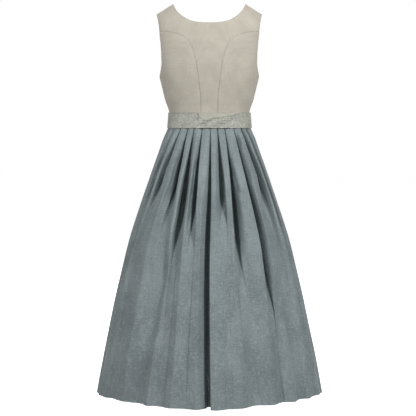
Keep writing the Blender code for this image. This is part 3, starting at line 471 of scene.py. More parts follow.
FRONT_ARMHOLE = {
    "x": [0.1713, 0.1650, 0.1560, 0.1500, 0.1480, 0.1490, 0.1540, 0.1655, 0.1805],
    "z": [-0.2470, -0.2380, -0.2150, -0.1850, -0.1500, -0.1150, -0.0800, -0.0530, -0.0355],
}
FRONT_NECK = {
    "x": [0.1237, 0.1190, 0.1140, 0.1080, 0.0980, 0.0820, 0.0600, 0.0320, 0.0],
    "z": [0.0, -0.0400, -0.0800, -0.1150, -0.1450, -0.1670, -0.1800, -0.1860, -0.1870],
}
print("back neck depth:", -BACK_NECK["z"][-1], "m, front:", -FRONT_NECK["z"][-1], "m")

# %% [markdown]
# A level slice through the figure is an ellipse with fuller corners: |x/a|^n + |y/b|^n = 1. Near the
# shoulder the depth is eased to nothing along a quarter circle, so that the cloth rolls over the top.

# %% The figure's surface
def shoulder_height(x):
    return (NECK_HALF - np.abs(x)) * TIP_DROP / (TIP_HALF - NECK_HALF)


def figure_depth(x, z, side):
    """Depth at (x, z): b (1 - |x/a|^n)^(1/n), rounded over the shoulder; side 1 is the back, -1 the front."""
    half, power, depth = read(FIGURE, z, "half", "round", "back" if side > 0 else "front")
    share = np.clip(np.abs(x) / half, 0.0, 1.0)
    y = depth * (1 - share ** power) ** (1 / power)
    if side < 0:
        across, up = (np.abs(x) - BUST["x"]) / BUST["wide"], (z - BUST["z"]) / BUST["tall"]
        y = y + BUST["out"] * np.exp(-across ** 2 - up ** 2) * np.clip((1 - share) / BUST["fade"], 0.0, 1.0)
    drop = np.clip((shoulder_height(x) - z) / SHOULDER_ROUND, 0.0, 1.0)
    return side * (SEAM_GAP / 2 + y * np.sqrt(1 - (1 - drop) ** 2))


def to_turn(x, z):
    """The share of the quarter turn from the middle to the side, asin(|x/a|^(n/2)) / 90 degrees."""
    half, power = read(FIGURE, z, "half", "round")
    return np.arcsin(np.clip(np.abs(x) / half, 0.0, 1.0) ** (power / 2)) / (math.pi / 2)


def from_turn(turn, z, side):
    half, power = read(FIGURE, z, "half", "round")
    x = half * np.sin(np.clip(turn, 0.0, 1.0) * math.pi / 2) ** (2 / power)
    return np.stack([x, figure_depth(x, z, side), z], axis=-1)


def to_fall(x, z):
    """The length of cloth from the shoulder line down to height z, over the quarter circle and on."""
    t = shoulder_height(x) - z
    bend = SHOULDER_ROUND * np.arccos(np.clip(1 - t / SHOULDER_ROUND, -1.0, 1.0))
    return np.where(t < SHOULDER_ROUND, bend, SHOULDER_ROUND * math.pi / 2 + t - SHOULDER_ROUND)


def from_fall(x, fall, side):
    bend = SHOULDER_ROUND * (1 - np.cos(np.clip(fall / SHOULDER_ROUND, 0.0, math.pi / 2)))
    t = np.where(fall < SHOULDER_ROUND * math.pi / 2, bend, fall - SHOULDER_ROUND * (math.pi / 2 - 1))
    z = shoulder_height(x) - t
    return np.stack([x, figure_depth(x, z, side), z], axis=-1)


def outward(grid, side):
    """Directions of the figure's own surface, the same for both panels at a seam."""
    z = grid[..., 2]
    turn = np.clip(to_turn(grid[..., 0], z), 0.0, 0.998)
    across = from_turn(turn + 0.001, z, side) - from_turn(turn - 0.001, z, side)
    up = from_turn(turn, z + 0.0005, side) - from_turn(turn, z - 0.0005, side)
    n = np.cross(up, across) * side
    n[..., 0] *= np.sign(grid[..., 0] + 1e-9)
    return unit(n)


print("bust depth:", round(float(-figure_depth(np.array(0.08), np.array(-0.262), -1)), 3), "m")

# %% [markdown]
# A panel is cut flat first: an outline in flat lengths, filled with an even field of triangles. Then
# every flat point is laid on the figure. The narrow panels at the sides are simpler: their inside is
# blended from four edges, an old trick of ship draughtsmen.

# %% Cutting panels
# How many points lie on each stretch of a middle panel's outline, and on the fine line under it.
OUTLINE = {"seam": 90, "armhole": 36, "shoulder": 15, "neck": 50, "opening": 50, "back_foot": 14,
           "front_foot": 12, "fine": 801}
# The side panels' grid, and the length of cloth that one unit of turn covers at the side seam.
SIDE = {"rows": 60, "cols": 36, "turn_length": 0.09}


def column_points(table):
    return np.stack([table["x"], table["z"]], axis=1)


def shifted(points, amount):
    """A flat line of points moved to its left by an amount."""
    way = unit(np.gradient(points, axis=0))
    return points + amount * np.stack([-way[:, 1], way[:, 0]], axis=1)


def along_surface(points, n, side):
    """n points along a flat curve, at even lengths over the curved surface under it."""
    fine = along(points, OUTLINE["fine"])
    lifted = np.column_stack([fine, figure_depth(fine[:, 0], fine[:, 1], side)])
    way = lengths(lifted)
    at = np.linspace(0.0, way[-1], n)
    return np.stack([np.interp(at, way, fine[:, k]) for k in range(2)], axis=1)


def middle_outline(side):
    """Up the seam and the armhole, along the shoulder, down the neckline and back to the waist."""
    back, front = (BACK_SEAM, BACK_ARMHOLE, BACK_NECK), (FRONT_SEAM, FRONT_ARMHOLE, FRONT_NECK)
    seam, armhole, neck = back if side > 0 else front
    low = shifted(along(column_points(seam), OUTLINE["seam"]), SEAM_GAP / 2)
    arm = column_points(armhole)
    start = int(np.argmin(np.abs(arm[:, 1] - seam["z"][-1])))
    high = along_surface(arm[start:], OUTLINE["armhole"], side)
    x = np.linspace(TIP_HALF, NECK_HALF, OUTLINE["shoulder"])[1:-1]
    shoulder = np.stack([x, shoulder_height(x)], axis=1)
    collar = along_surface(column_points(neck), OUTLINE["neck"], side)
    half = np.concatenate([low, high[1:], shoulder, collar])
    if side > 0:
        foot = np.linspace(-low[0, 0], low[0, 0], OUTLINE["back_foot"])[1:-1]
        loop = np.concatenate([half, half[-2::-1] * np.array([-1.0, 1.0])])
    else:
        half[-1, 0] = SEAM_GAP / 2
        z = np.linspace(half[-1, 1], WAIST_SEAM, OUTLINE["opening"])[1:]
        foot = np.linspace(SEAM_GAP / 2, low[0, 0], OUTLINE["front_foot"])[1:-1]
        loop = np.concatenate([half, np.stack([np.full(len(z), SEAM_GAP / 2), z], axis=1)])
    loop = np.concatenate([loop, np.stack([foot, np.full(len(foot), WAIST_SEAM)], axis=1)])
    return np.stack([loop[:, 0], to_fall(loop[:, 0], loop[:, 1])], axis=1)


def inside(points, outline):
    """True for points in a closed outline: a level ray from each crosses it an odd number of times."""
    a, b = outline, np.roll(outline, -1, axis=0)
    x, y = points[:, :1], points[:, 1:]
    spans = (a[:, 1] > y) != (b[:, 1] > y)
    rise = np.where(a[:, 1] == b[:, 1], 1.0, b[:, 1] - a[:, 1])
    return (spans & (x < a[:, 0] + (y - a[:, 1]) / rise * (b[:, 0] - a[:, 0]))).sum(axis=1) % 2 == 1


def clearance(points, outline):
    """The distance from each flat point to the nearest edge of the outline."""
    a, way = outline, np.roll(outline, -1, axis=0) - outline
    t = ((points[:, None] - a) * way).sum(axis=2) / (way ** 2).sum(axis=1)
    near = a + np.clip(t, 0.0, 1.0)[..., None] * way
    return np.linalg.norm(points[:, None] - near, axis=2).min(axis=1)


def cut_panel(outline, step, clear):
    """Flat triangles that fill an outline: constrained Delaunay over its points and a staggered field."""
    wide = step * math.ceil(np.abs(outline[:, 0]).max() / step)
    across = np.arange(-wide, wide + step / 2, step)
    down = np.arange(outline[:, 1].max() - step / 2, outline[:, 1].min(), -step)
    field = np.stack(np.meshgrid(across, down), axis=-1)
    field[1::2, :, 0] += step / 2
    field = field.reshape(-1, 2)
    field = field[inside(field, outline)]
    field = field[clearance(field, outline) > clear * step]
    points = np.concatenate([outline, field])
    edges = [(i, (i + 1) % len(outline)) for i in range(len(outline))]
    flat, _, faces, _, _, _ = delaunay_2d_cdt([Vector(p) for p in points.tolist()], edges, [], 1, 1e-7)
    flat, faces = np.array([list(p) for p in flat]), np.array(faces)
    one, two = flat[faces[:, 1]] - flat[faces[:, 0]], flat[faces[:, 2]] - flat[faces[:, 0]]
    turned = one[:, 0] * two[:, 1] - one[:, 1] * two[:, 0] < 0
    return flat, np.where(turned[:, None], faces[:, ::-1], faces)


def coons(bottom, right, top, left, cols):
    """Patch from four edges: the sum of the two ruled surfaces less the corners' bilinear blend."""
    u = np.linspace(0.0, 1.0, cols)[None, :, None]
    way = lengths(left)
    v = (way / way[-1])[:, None, None]
    ruled = (1 - v) * bottom[None] + v * top[None] + (1 - u) * left[:, None] + u * right[:, None]
    corners = (1 - u) * (1 - v) * bottom[0] + u * (1 - v) * bottom[-1]
    corners = corners + (1 - u) * v * top[0] + u * v * top[-1]
    return ruled - corners


def side_panel(side):
    """The panel from the curved seam round to the side seam, under the armhole."""
    rows, cols = SIDE["rows"], SIDE["cols"]
    seam, armhole = (BACK_SEAM, BACK_ARMHOLE) if side > 0 else (FRONT_SEAM, FRONT_ARMHOLE)
    left = shifted(along(column_points(seam), rows), -SEAM_GAP / 2)
    arm = column_points(armhole)
    stop = int(np.argmin(np.abs(arm[:, 1] - seam["z"][-1])))
    top = along(arm[: stop + 1], cols)[::-1].copy()
    top[0] = left[-1]
    edge = 1 - SEAM_GAP / 2 / SIDE["turn_length"]
    rim = np.stack([to_turn(left[:, 0], left[:, 1]), left[:, 1]], axis=1)
    bottom = np.stack([np.linspace(rim[0, 0], edge, cols), np.full(cols, WAIST_SEAM)], axis=1)
    right = np.stack([np.full(rows, edge), np.linspace(WAIST_SEAM, UNDERARM, rows)], axis=1)
    over = np.stack([to_turn(top[:, 0], top[:, 1]), top[:, 1]], axis=1)
    over[-1] = (edge, UNDERARM)
    patch = coons(bottom, right, over, rim, cols)
    return from_turn(patch[..., 0], patch[..., 1], side)


print("back outline:", len(middle_outline(1)), "points")

# %% [markdown]
# Real bodice cloth is never quite even. It sinks a little where a seam is pressed, and it carries soft
# drag lines between them. Both are added along the figure's outward direction, and both fade out under
# the band, which lies close over the waist.

# %% Sew the bodice
# Soft ripples and their size each way, the dip along a seam, and where both fade out over the band.
WORN = {"soft": 0.0007, "across": 0.08, "down": 0.09, "dip": 0.0005, "dip_wide": 0.0032,
        "free_from": 0.002, "free_by": 0.035}


def worn_form(points, side, near, seed):
    """Outer and inner face: out by soft ripples, in by dip * exp(-(distance to the seam / width)^2)."""
    n = outward(points, side)
    free = ease(points[..., 2], BAND_TOP + WORN["free_from"], BAND_TOP + WORN["free_by"])
    soft = WORN["soft"] * ripples(points[..., 0] / WORN["across"], points[..., 2] / WORN["down"], seed) * free
    face = points + (soft - WORN["dip"] * np.exp(-(near / WORN["dip_wide"]) ** 2))[..., None] * n
    back = face - BODICE_WALL * n
    for form in (face, back):
        form[..., 1] = side * np.maximum(side * form[..., 1], SEAM_GAP / 2)
    return face, back


def declare(piece, node, area):
    """Hide the CAD node that a finished sheet takes the place of, and hang the sheet from the root. area is
    not used.
    """
    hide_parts(node)
    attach(piece, "root")


MIRROR = np.array([-1.0, 1.0, 1.0])
# SEAM_SHADE_WIDE is how far the painted shade along seams and edges reaches.
GRID_STEP, GRID_CLEAR, SEAM_SHADE_WIDE = 0.0046, 0.45, 0.0015
PANELS = {1: [("bodice_back_centre", 1)], -1: [("bodice_front_left", 1), ("bodice_front_right", -1)]}
for side, nodes in PANELS.items():
    outline = middle_outline(side)
    flat, faces = cut_panel(outline, GRID_STEP, GRID_CLEAR)
    near = clearance(flat, outline)
    face, back = worn_form(from_fall(flat[:, 0], flat[:, 1], side), side, near, 7)
    under = len(flat)
    i = np.arange(len(outline))
    j = np.roll(i, -1)
    rim = np.concatenate([np.stack([j, i, i + under], axis=1), np.stack([j, i + under, j + under], axis=1)])
    after = outline[j]
    if (outline[:, 0] * after[:, 1] - outline[:, 1] * after[:, 0]).sum() < 0:
        rim = rim[:, ::-1]
    tri = np.concatenate([faces, faces[:, ::-1] + under, rim])
    area = float(np.linalg.norm(normals_of(face, faces), axis=1).sum() / 2)
    for node, way in nodes:
        verts = np.concatenate([face, back]) * (MIRROR if way < 0 else 1.0)
        # The last value is the painted shade along the panel's seams and edges.
        piece = sew(node + "_cloth", verts, tri, np.concatenate([flat, flat]), linen,
                    np.tile(np.exp(-(near / SEAM_SHADE_WIDE) ** 2), 2))
        declare(piece, node, area)

for side, place in ((1, "bodice_side_back"), (-1, "bodice_side_front")):
    grid = side_panel(side)
    down, across = lengths(grid, 0), lengths(grid, 1)
    near = np.minimum(np.minimum(down, down[-1:] - down), np.minimum(across, across[:, -1:] - across))
    face, back = worn_form(grid, side, near, 11)
    uv = np.stack([across, down], axis=2)
    for end, way in (("_left", 1), ("_right", -1)):
        turn = MIRROR if way < 0 else 1.0
        # seam_shade: painted shade along the panel's seams and edges
        seam_shade = np.exp(-(near / SEAM_SHADE_WIDE) ** 2)
        piece = lay_out(place + end + "_cloth", face * turn, back * turn, linen, uv, seam_shade)
        declare(piece, place + end, area_of(face))

# %% [markdown]
# ## The skirt
# Seen from above, the skirt is a ring like the figure's slices, only wider towards the hem. Pleats are
# laid into that ring. Each one has a floor, two returns that run under the panels, two folded edges and
# two shoulders. A quadratic B-spline through those eight points turns them into soft cloth.

# %% Pleats
# One column for each pleat of the back: its place at four heights, as a share of the half width there,
# its depth, the heights where it is deepest and where it has faded (below the hem if it never does), its
# depth and opening low down, and the side on which its folded edge is sharp.
BACK_PLEATS = {
    "name":   ["l0", "l1", "l2", "l3", "l4", "l5", "c", "r1", "r2", "r3", "r4", "r5", "r6"],
    "waist":  [ .975,  .850,  .688,  .515,  .361,  .174, -.023, -.192, -.370, -.581, -.760, -.885, -.978],
    "upper":  [ .985,  .918,  .811,  .552,  .398,  .221, -.005, -.206, -.377, -.621, -.845, -.945, -.988],
    "middle": [ .990,  .945,  .870,  .568,  .424,  .224,  .029, -.175, -.342, -.662, -.850, -.950, -.990],
    "hem":    [ .990,  .945,  .860,  .620,  .440,  .230,  .013, -.170, -.430, -.640, -.815, -.930, -.990],
    "deep":   [ .008,  .022,  .034,  .040,  .044,  .042,  .050,  .038,  .044,  .046,  .034,  .020,  .008],
    "peak":   [ -.50,  -.52,  -.55,  -.58,  -.69,  -.67,  -.80,  -.63,  -.76,  -.88,  -.57,  -.60,  -.50],
    "fade":   [ -.70,  -.70,  -.71,  -.79,  -.94,  -.86, -8.00,  -.76, -1.00, -1.20,  -.73,  -.82,  -.70],
    "at_hem": [ .004,  .004,  .007,  .013,  .012,  .006,  .040,  .006,  .010,  .010,  .015,  .007,  .004],
    "open":   [ .003,  .006,  .012,  .012,  .017,  .012,  .014,  .015,  .018,  .020,  .015,  .008,  .003],
    "sharp":  [-1, -1, -1, -1, 1, -1, -1, -1, 1, 1, 1, 1, 1],
}
FRONT_PLEATS = {
    "angle": [105.0, 120.0, 136.0, 152.0, 170.0, -170.0, -155.0, -141.0, -128.0, -115.0, -103.0],
    "deep":  [0.009, 0.011, 0.012, 0.012, 0.011, 0.010, 0.011, 0.012, 0.012, 0.011, 0.009],
    "peak": -0.62, "fade": -1.00, "at_hem": 0.010, "open": 0.006,
}
SKIRT_SEAMS = {"right": -90.0, "left": 90.0, "front": 180.0}
# What a pleat's edges measure at the waist, where the pleat is deepest, and where it has faded.
STAGES = {
    "overlap":        [0.0035, 0.0100, 0.0],
    "sharp_shoulder": [0.0055, 0.0080, 0.0480],
    "soft_shoulder":  [0.0060, 0.0130, 0.0520],
}
RING_POINTS = 1441
PLEAT = {
    "return_depth": 0.86, "soft_edge": 0.50, "crisp_edge": 0.0010, "crisp_faded": 0.34,
    "shoulder_most": 0.40, "beside_seam": 0.60, "overlap_most": 0.80,
    "puff": 0.0012, "puff_more": 0.0016, "puff_by": 0.020, "flat_above": BAND_BOTTOM - 0.004,
    "least_faded": 0.005, "faded_share": 0.60, "live_share": 0.50, "main_soft": 0.030, "main_reach": 0.40,
    "corner_most": 2.0,
    "waist_opening": 0.0018, "widest_opening": 0.0420,
}


def oval(turn, half, back, front, power):
    """A level slice, |x/a|^n + |y/b|^n = 1, with one depth b at the back and another in front."""
    s, c = np.sin(turn), np.cos(turn)
    x = half * np.sign(s) * np.abs(s) ** (2 / power)
    return x, np.where(c > 0, back, front) * np.sign(c) * np.abs(c) ** (2 / power)


def skirt_ring(z):
    """The skirt's oval at height z, as points at even lengths with their outward directions."""
    turn = np.radians(np.linspace(-180.0, 180.0, RING_POINTS))
    half, back, front, power = read(SKIRT, z, "half", "back", "front", "round")
    x, y = oval(turn, half, back, front, power)
    way = np.concatenate([[0.0], np.cumsum(np.hypot(np.diff(x), np.diff(y)))])
    even = np.linspace(0.0, way[-1], RING_POINTS)
    px, py = np.interp(even, way, x), np.interp(even, way, y)
    tangent = unit(np.stack([np.gradient(px), np.gradient(py)], axis=1))
    out = np.stack([-tangent[:, 1], tangent[:, 0]], axis=1)
    return {"turn": turn, "way": way, "even": even, "x": px, "y": py, "out": out, "power": power}


def on_ring(ring, s, depth):
    """The point at length s along the ring, moved inwards by depth along the ring's normal."""
    s = np.mod(s, ring["even"][-1])
    values = (ring["x"], ring["y"], ring["out"][:, 0], ring["out"][:, 1])
    x, y, nx, ny = (np.interp(s, ring["even"], k) for k in values)
    size = np.hypot(nx, ny)
    return np.stack([x - depth * nx / size, y - depth * ny / size], axis=-1)


def at_turn(ring, degrees):
    return np.interp(np.radians(degrees), ring["turn"], ring["way"])


def staged(z, peak, fade, values, rush=1.0):
    """Eases from the waist's value to the peak's, faster for a small rush, then to the faded one."""
    t, r = ease(BAND_BOTTOM - z, 0.0, BAND_BOTTOM - peak) ** rush, ease(peak - z, 0.0, peak - fade)
    return (values[0] + (values[1] - values[0]) * t) * (1 - r) + values[2] * r


def pleats_at(z, ring):
    """Every pleat at height z, in order round the ring."""
    b, f = BACK_PLEATS, FRONT_PLEATS
    stations = [HEM, -0.85, -0.60, BAND_BOTTOM]
    share = np.array([smooth(stations, col, max(z, HEM)) for col in
                      np.stack([b["hem"], b["middle"], b["upper"], b["waist"]], axis=1)])
    back = np.sign(share) * np.degrees(np.arcsin(np.minimum(np.abs(share), 1.0) ** (ring["power"] / 2)))
    rows = list(zip(back, b["deep"], b["peak"], b["fade"], b["at_hem"], b["open"], b["sharp"]))
    rows += [(a, d, f["peak"], f["fade"], f["at_hem"], f["open"], 1 if a > 0 else -1)
             for a, d in zip(f["angle"], f["deep"])]
    made = []
    for degrees, deep, peak, fade, at_hem, opening, sharp in sorted(rows):
        faded = max(PLEAT["least_faded"], PLEAT["faded_share"] * at_hem)
        depth = staged(z, peak, fade, (WAIST_DEPTH, deep, faded), DEPTH_RUSH)
        if z < fade:
            depth = faded + (at_hem - faded) * (fade - z) / (fade - HEM)
        soft = staged(z, peak, fade, STAGES["soft_shoulder"])
        if fade < HEM:
            soft = soft + PLEAT["main_soft"] * np.clip((peak - z) / PLEAT["main_reach"] + 0.5, 0.0, 1.0)
        over = staged(z, peak, fade, STAGES["overlap"])
        valley = min(PLEAT["widest_opening"], VALLEY_SLOPE * at_hem)
        made.append({"s": float(at_turn(ring, degrees)), "depth": depth, "sharp": sharp, "soft": soft,
                     "gap": staged(z, peak, fade, (PLEAT["waist_opening"], opening, valley)),
                     "over": min(over, PLEAT["overlap_most"] * depth),
                     "crisp": staged(z, peak, fade, STAGES["sharp_shoulder"]), "main": fade < HEM,
                     "live": float(np.clip((z - fade) / (PLEAT["live_share"] * (peak - fade)), 0.0, 1.0))})
    return made


def edge_depth(fold, crisp):
    """How far a fold's edge lies under its panel: hardly at a crisp edge, half the fold at a soft one."""
    if crisp:
        return PLEAT["crisp_edge"] + PLEAT["crisp_faded"] * fold["depth"] * (1 - fold["live"])
    return PLEAT["soft_edge"] * fold["depth"]


def pleated(z, samples):
    """The pleated outline at height z, and where its seams and centre fold fall on it."""
    ring = skirt_ring(z)
    made = pleats_at(z, ring)
    total = ring["even"][-1]
    seams = {key: float(at_turn(ring, angle)) for key, angle in SKIRT_SEAMS.items()}
    s, depth, marks = [], [], {}
    for i, p in enumerate(made):
        q = made[(i + 1) % len(made)]
        after = q["s"] + (total if i == len(made) - 1 else 0.0)
        most = WIDEST_SHARE * (after - p["s"])
        start, stop = p["s"] + min(p["gap"] / 2, most), after - min(q["gap"] / 2, most)
        wide = stop - start
        p_crisp, q_crisp = p["sharp"] > 0, q["sharp"] < 0
        widest = PLEAT["shoulder_most"] * wide
        first = min(p["crisp"] if p_crisp else p["soft"], widest)
        last = min(q["crisp"] if q_crisp else q["soft"], widest)
        first_over, last_over = p["over"] if p_crisp else 0.0, q["over"] if q_crisp else 0.0
        first_edge, last_edge = edge_depth(p, p_crisp), edge_depth(q, q_crisp)
        middle = start + first + (wide - first - last) * 0.5
        for key, seam in seams.items():
            if start < seam < stop:
                middle, marks[key] = seam, len(s) + 4
                first = min(first, PLEAT["beside_seam"] * (seam - start))
                last = min(last, PLEAT["beside_seam"] * (stop - seam))
        puff = -PLEAT["puff"] - PLEAT["puff_more"] * min(1.0, p["depth"] / PLEAT["puff_by"])
        if z > PLEAT["flat_above"]:
            puff = 0.0
        if p["main"]:
            marks["centre"] = len(s)
        s += [p["s"], start + first_over, start, start + first, middle, stop - last, stop, stop - last_over]
        deep = PLEAT["return_depth"]
        depth += [p["depth"], deep * p["depth"], first_edge, 0.0, puff, 0.0, last_edge, deep * q["depth"]]
    flat = on_ring(ring, np.array(s), np.array(depth))
    t = ((np.arange(samples) + 0.5) / samples)[None, :, None]
    a, b, c = np.roll(flat, 1, axis=0)[:, None], flat[:, None], np.roll(flat, -1, axis=0)[:, None]
    curve = 0.5 * (1 - t) ** 2 * (a + b) + 2 * t * (1 - t) * b + 0.5 * t ** 2 * (b + c)
    return curve.reshape(-1, 2), {key: at * samples + samples // 2 for key, at in marks.items()}


def wall_inward(line, thick):
    """A closed flat line moved inwards by thick, more at its corners (thick / cos of half the turn)."""
    a, b = unit(line - np.roll(line, 1, axis=0)), unit(np.roll(line, -1, axis=0) - line)
    na, nb = np.stack([a[:, 1], -a[:, 0]], axis=1), np.stack([b[:, 1], -b[:, 0]], axis=1)
    mid = unit(na + nb)
    return line + thick / np.clip((mid * na).sum(axis=1, keepdims=True), 1 / PLEAT["corner_most"], 1.0) * mid


print("pleats in the ring:", len(BACK_PLEATS["name"]) + len(FRONT_PLEATS["angle"]))

# %% [markdown]
# The rings are stacked from the waist to the hem. Soft uneven troughs are then pressed into the back,
# none at the waist where the pleats hold the cloth, and more lower down where it hangs free.

# %% Sew the skirt
# Broad soft valleys of the lower back: where each starts and ends, its width and its depth.
VALLEYS = {
    "x_top":  [0.142, 0.198, -0.148, -0.236],
    "x_low":  [0.186, 0.222, -0.168, -0.268],
    "z_top":  [-0.800, -0.880, -0.900, -0.900],
    "z_low":  [-1.140, -1.180, -1.420, -1.420],
    "wide":   [0.017, 0.015, 0.019, 0.017],
    "deep":   [0.018, 0.012, 0.015, 0.017],
}
# How far a valley eases in and out round its two heights, and how far behind the middle it begins.
VALLEY = {"starts": 0.06, "full": 0.12, "fades": 0.12, "gone": 0.04, "behind": 0.03}
# Where shade is painted on cloth deep in a fold: how near its rims stand, how deep it lies, and between
# which heights. On the wearer's right the painted shade starts higher up, and near the centre it stays
# lighter.
FOLD_SHADE = {"near": 0.008, "least": 0.0026, "most": 0.0075, "from_right": 0.38, "from_rest": 0.47,
          "within": 0.08, "right": -0.11, "rest": -0.06, "more_right": 0.5, "centre": 0.042,
          "less_centre": 0.85, "gone_from": 0.60, "gone_by": 0.95}


def painted_fold_shade(line, z):
    """How much shade to paint on each point, from 0 to 1: how deep it lies in a narrow fold, the largest
    radius close by less its own.
    """
    radius = np.linalg.norm(line, axis=1)
    apart = np.linalg.norm(line[:, None] - line[None], axis=2)
    rim = np.where(apart < FOLD_SHADE["near"], radius[None], 0.0).max(axis=1)
    right = 1.0 - ease(line[:, 0], FOLD_SHADE["right"], FOLD_SHADE["rest"])
    start = FOLD_SHADE["from_rest"] + (FOLD_SHADE["from_right"] - FOLD_SHADE["from_rest"]) * right
    live = ease(-z - start, 0.0, FOLD_SHADE["within"]) * (1.0 - ease(-z, FOLD_SHADE["gone_from"], FOLD_SHADE["gone_by"]))
    depth = (rim - radius) * (1.0 + FOLD_SHADE["more_right"] * right)
    centre = FOLD_SHADE["less_centre"] * np.exp(-(line[:, 0] / FOLD_SHADE["centre"]) ** 2)
    return ease(depth, FOLD_SHADE["least"], FOLD_SHADE["most"]) * live * (1.0 - centre)


# Two layers of uneven troughs: how fine they are round the skirt and down it, their seed and depth.
TROUGHS = {"round_it": [14.0, 34.0], "down": [0.6, 0.35], "seed": [5, 9], "deep": [0.0052, 0.0007]}
# Where the cloth hangs free of the pleats, and so may sink: how far below the band, how far back.
FREE = {"from": 0.04, "by": 0.85, "front": -0.03, "back": 0.06}
SAMPLES, SKIRT_ROWS, CLOSER_AT_WAIST = 4, 132, 1.2
SKIRT_TOP = WAIST_SEAM - SEAM_GAP
heights = SKIRT_TOP + (HEM - SKIRT_TOP) * np.linspace(0.0, 1.0, SKIRT_ROWS) ** CLOSER_AT_WAIST
rings_out, rings_in = [], []
for z in heights:
    line, marks = pleated(float(z), SAMPLES)
    rings_out.append(line)
    rings_in.append(wall_inward(line, SKIRT_WALL))
outer, inner = np.array(rings_out), np.array(rings_in)
count = outer.shape[1]
level = np.broadcast_to(heights[:, None], (len(heights), count))
share = np.arange(count) / count
free = ease(-level, -BAND_BOTTOM + FREE["from"], FREE["by"])
free = free * ease(outer[..., 1], FREE["front"], FREE["back"])
press = free * sum(ripples(share[None] * round_it, level / down, seed) * deep
                   for round_it, down, seed, deep in zip(*TROUGHS.values()))
for x_top, x_low, z_top, z_low, wide, deep in zip(*VALLEYS.values()):
    down = np.clip((z_top - level) / (z_top - z_low), 0.0, 1.0)
    across = (outer[..., 0] - x_top - (x_low - x_top) * down) / (wide * (1.0 + down))
    fall = ease(-level, -z_top - VALLEY["starts"], -z_top + VALLEY["full"])
    fall = fall * (1.0 - ease(-level, -z_low - VALLEY["fades"], -z_low + VALLEY["gone"]))
    press = press - deep * np.exp(-across ** 2) * fall * ease(outer[..., 1], 0.0, VALLEY["behind"])
radial = unit(outer)
outer, inner = (g + press[..., None] * radial for g in (outer, inner))
outer, inner = (np.concatenate([g, level[..., None]], axis=2) for g in (outer, inner))
outer, inner = (np.concatenate([g, g], axis=1) for g in (outer, inner))

# The UV map follows each panel between two folds, from its own middle, so that the cloth's pattern is
# cut off where it dives into a fold.
around, downward = lengths(outer, 1), lengths(outer, 0)
column = np.arange(outer.shape[1])
panel_middle = ((column - SAMPLES // 2) // (8 * SAMPLES)) * 8 * SAMPLES + SAMPLES // 2 + 4 * SAMPLES
panel_middle = np.minimum(panel_middle, outer.shape[1] - 1)
# fold_shade: painted shade for cloth deep in the folds
fold_shade = np.array([np.tile(painted_fold_shade(line, z), 2) for line, z in zip(rings_out, heights)])
across = around - around[:, panel_middle] + around[-1, panel_middle]
skirt_uv = np.stack([across, downward[:, panel_middle]], axis=2)
c, l, f, r = (marks[key] for key in ("centre", "left", "front", "right"))
SPANS = {
    "node":  ["skirt_back_left", "skirt_front_left", "skirt_front_right", "skirt_back_right"],
    "first": [c, l, f, r],
    "last":  [l, f, r + count, c],
    "every": [1, 2, 2, 1],
}
for node, first, last, every in zip(*SPANS.values()):
    pick = np.append(np.arange(first, last, every), last)
    face, back, uv = outer[:, pick].copy(), inner[:, pick].copy(), skirt_uv[:, pick]
    for edge, beside in ((0, 1), (-1, -2)):
        for grid in (face, back):
            grid[:, edge] += unit(grid[:, beside] - grid[:, edge]) * SEAM_GAP / 2
    piece = lay_out(node + "_cloth", face, back, skirt_cloth, uv, fold_shade[:, pick])
    declare(piece, node, area_of(face))
print("each ring has", count, "points and there are", len(heights), "rings")

# %% [markdown]
# ## Band and ties
# The band is sewn to the apron's top and goes round to the side seams. There its two ties start. They
# cross at the back, one over the other, and come forward again to the bow. Round the waist the surface
# is one oval at the band's lower edge and a slightly smaller one at its upper edge.

# %% Lay the band and ties
BAND = {"z": [BAND_BOTTOM, BAND_TOP], "half": [0.1430, 0.1386], "back": [0.0797, 0.0753],
        "front": [0.0992, 0.0968]}
# EDGE_SHADE_WIDE is how far the painted shadow line along an upper edge reaches.
BAND_ROUND, EDGE_SHADE_WIDE, TIE_INSET, OVERLAP = 2.2, 0.0012, 0.0006, 0.2
SOFT_TROUGH, ROLL_WIDE = 0.0003, 0.0035
PUCKER = {"up": 240.0, "across": 95.0, "stray": 1.6, "begins": [-0.105, -0.050], "ends": [0.030, 0.062]}
TIE_STEPS = {"left_rises": [88.0, 96.0], "right_lands": [88.0, 78.0]}
TIE_DIP = {
    "x":    [-0.1080, -0.0897, -0.0676, -0.0190, 0.0050, 0.0149, 0.0250, 0.0362, 0.0385],
    "drop": [0.0, 0.0052, 0.0107, 0.0172, 0.0235, 0.0266, 0.0185, 0.0128, 0.0],
}


def band_place(degrees, z, out):
    """A place on the band's oval at height z, with out added to its half width and its depths."""
    half, back, front = (size + out for size in read(BAND, z, "half", "back", "front"))
    return np.stack([*oval(np.radians(degrees), half, back, front, BAND_ROUND), z], axis=-1)


def puckers(x, z):
    """Small slanted creases round the crossing: a sine across them, times a soft window in x."""
    slant = (z - BAND_BOTTOM) * PUCKER["up"] + x * PUCKER["across"]
    window = ease(x, *PUCKER["begins"]) * (1.0 - ease(x, *PUCKER["ends"]))
    return window * (0.5 + 0.5 * np.sin(slant + PUCKER["stray"] * ripples(x / 0.020, z / 0.012, 8)))


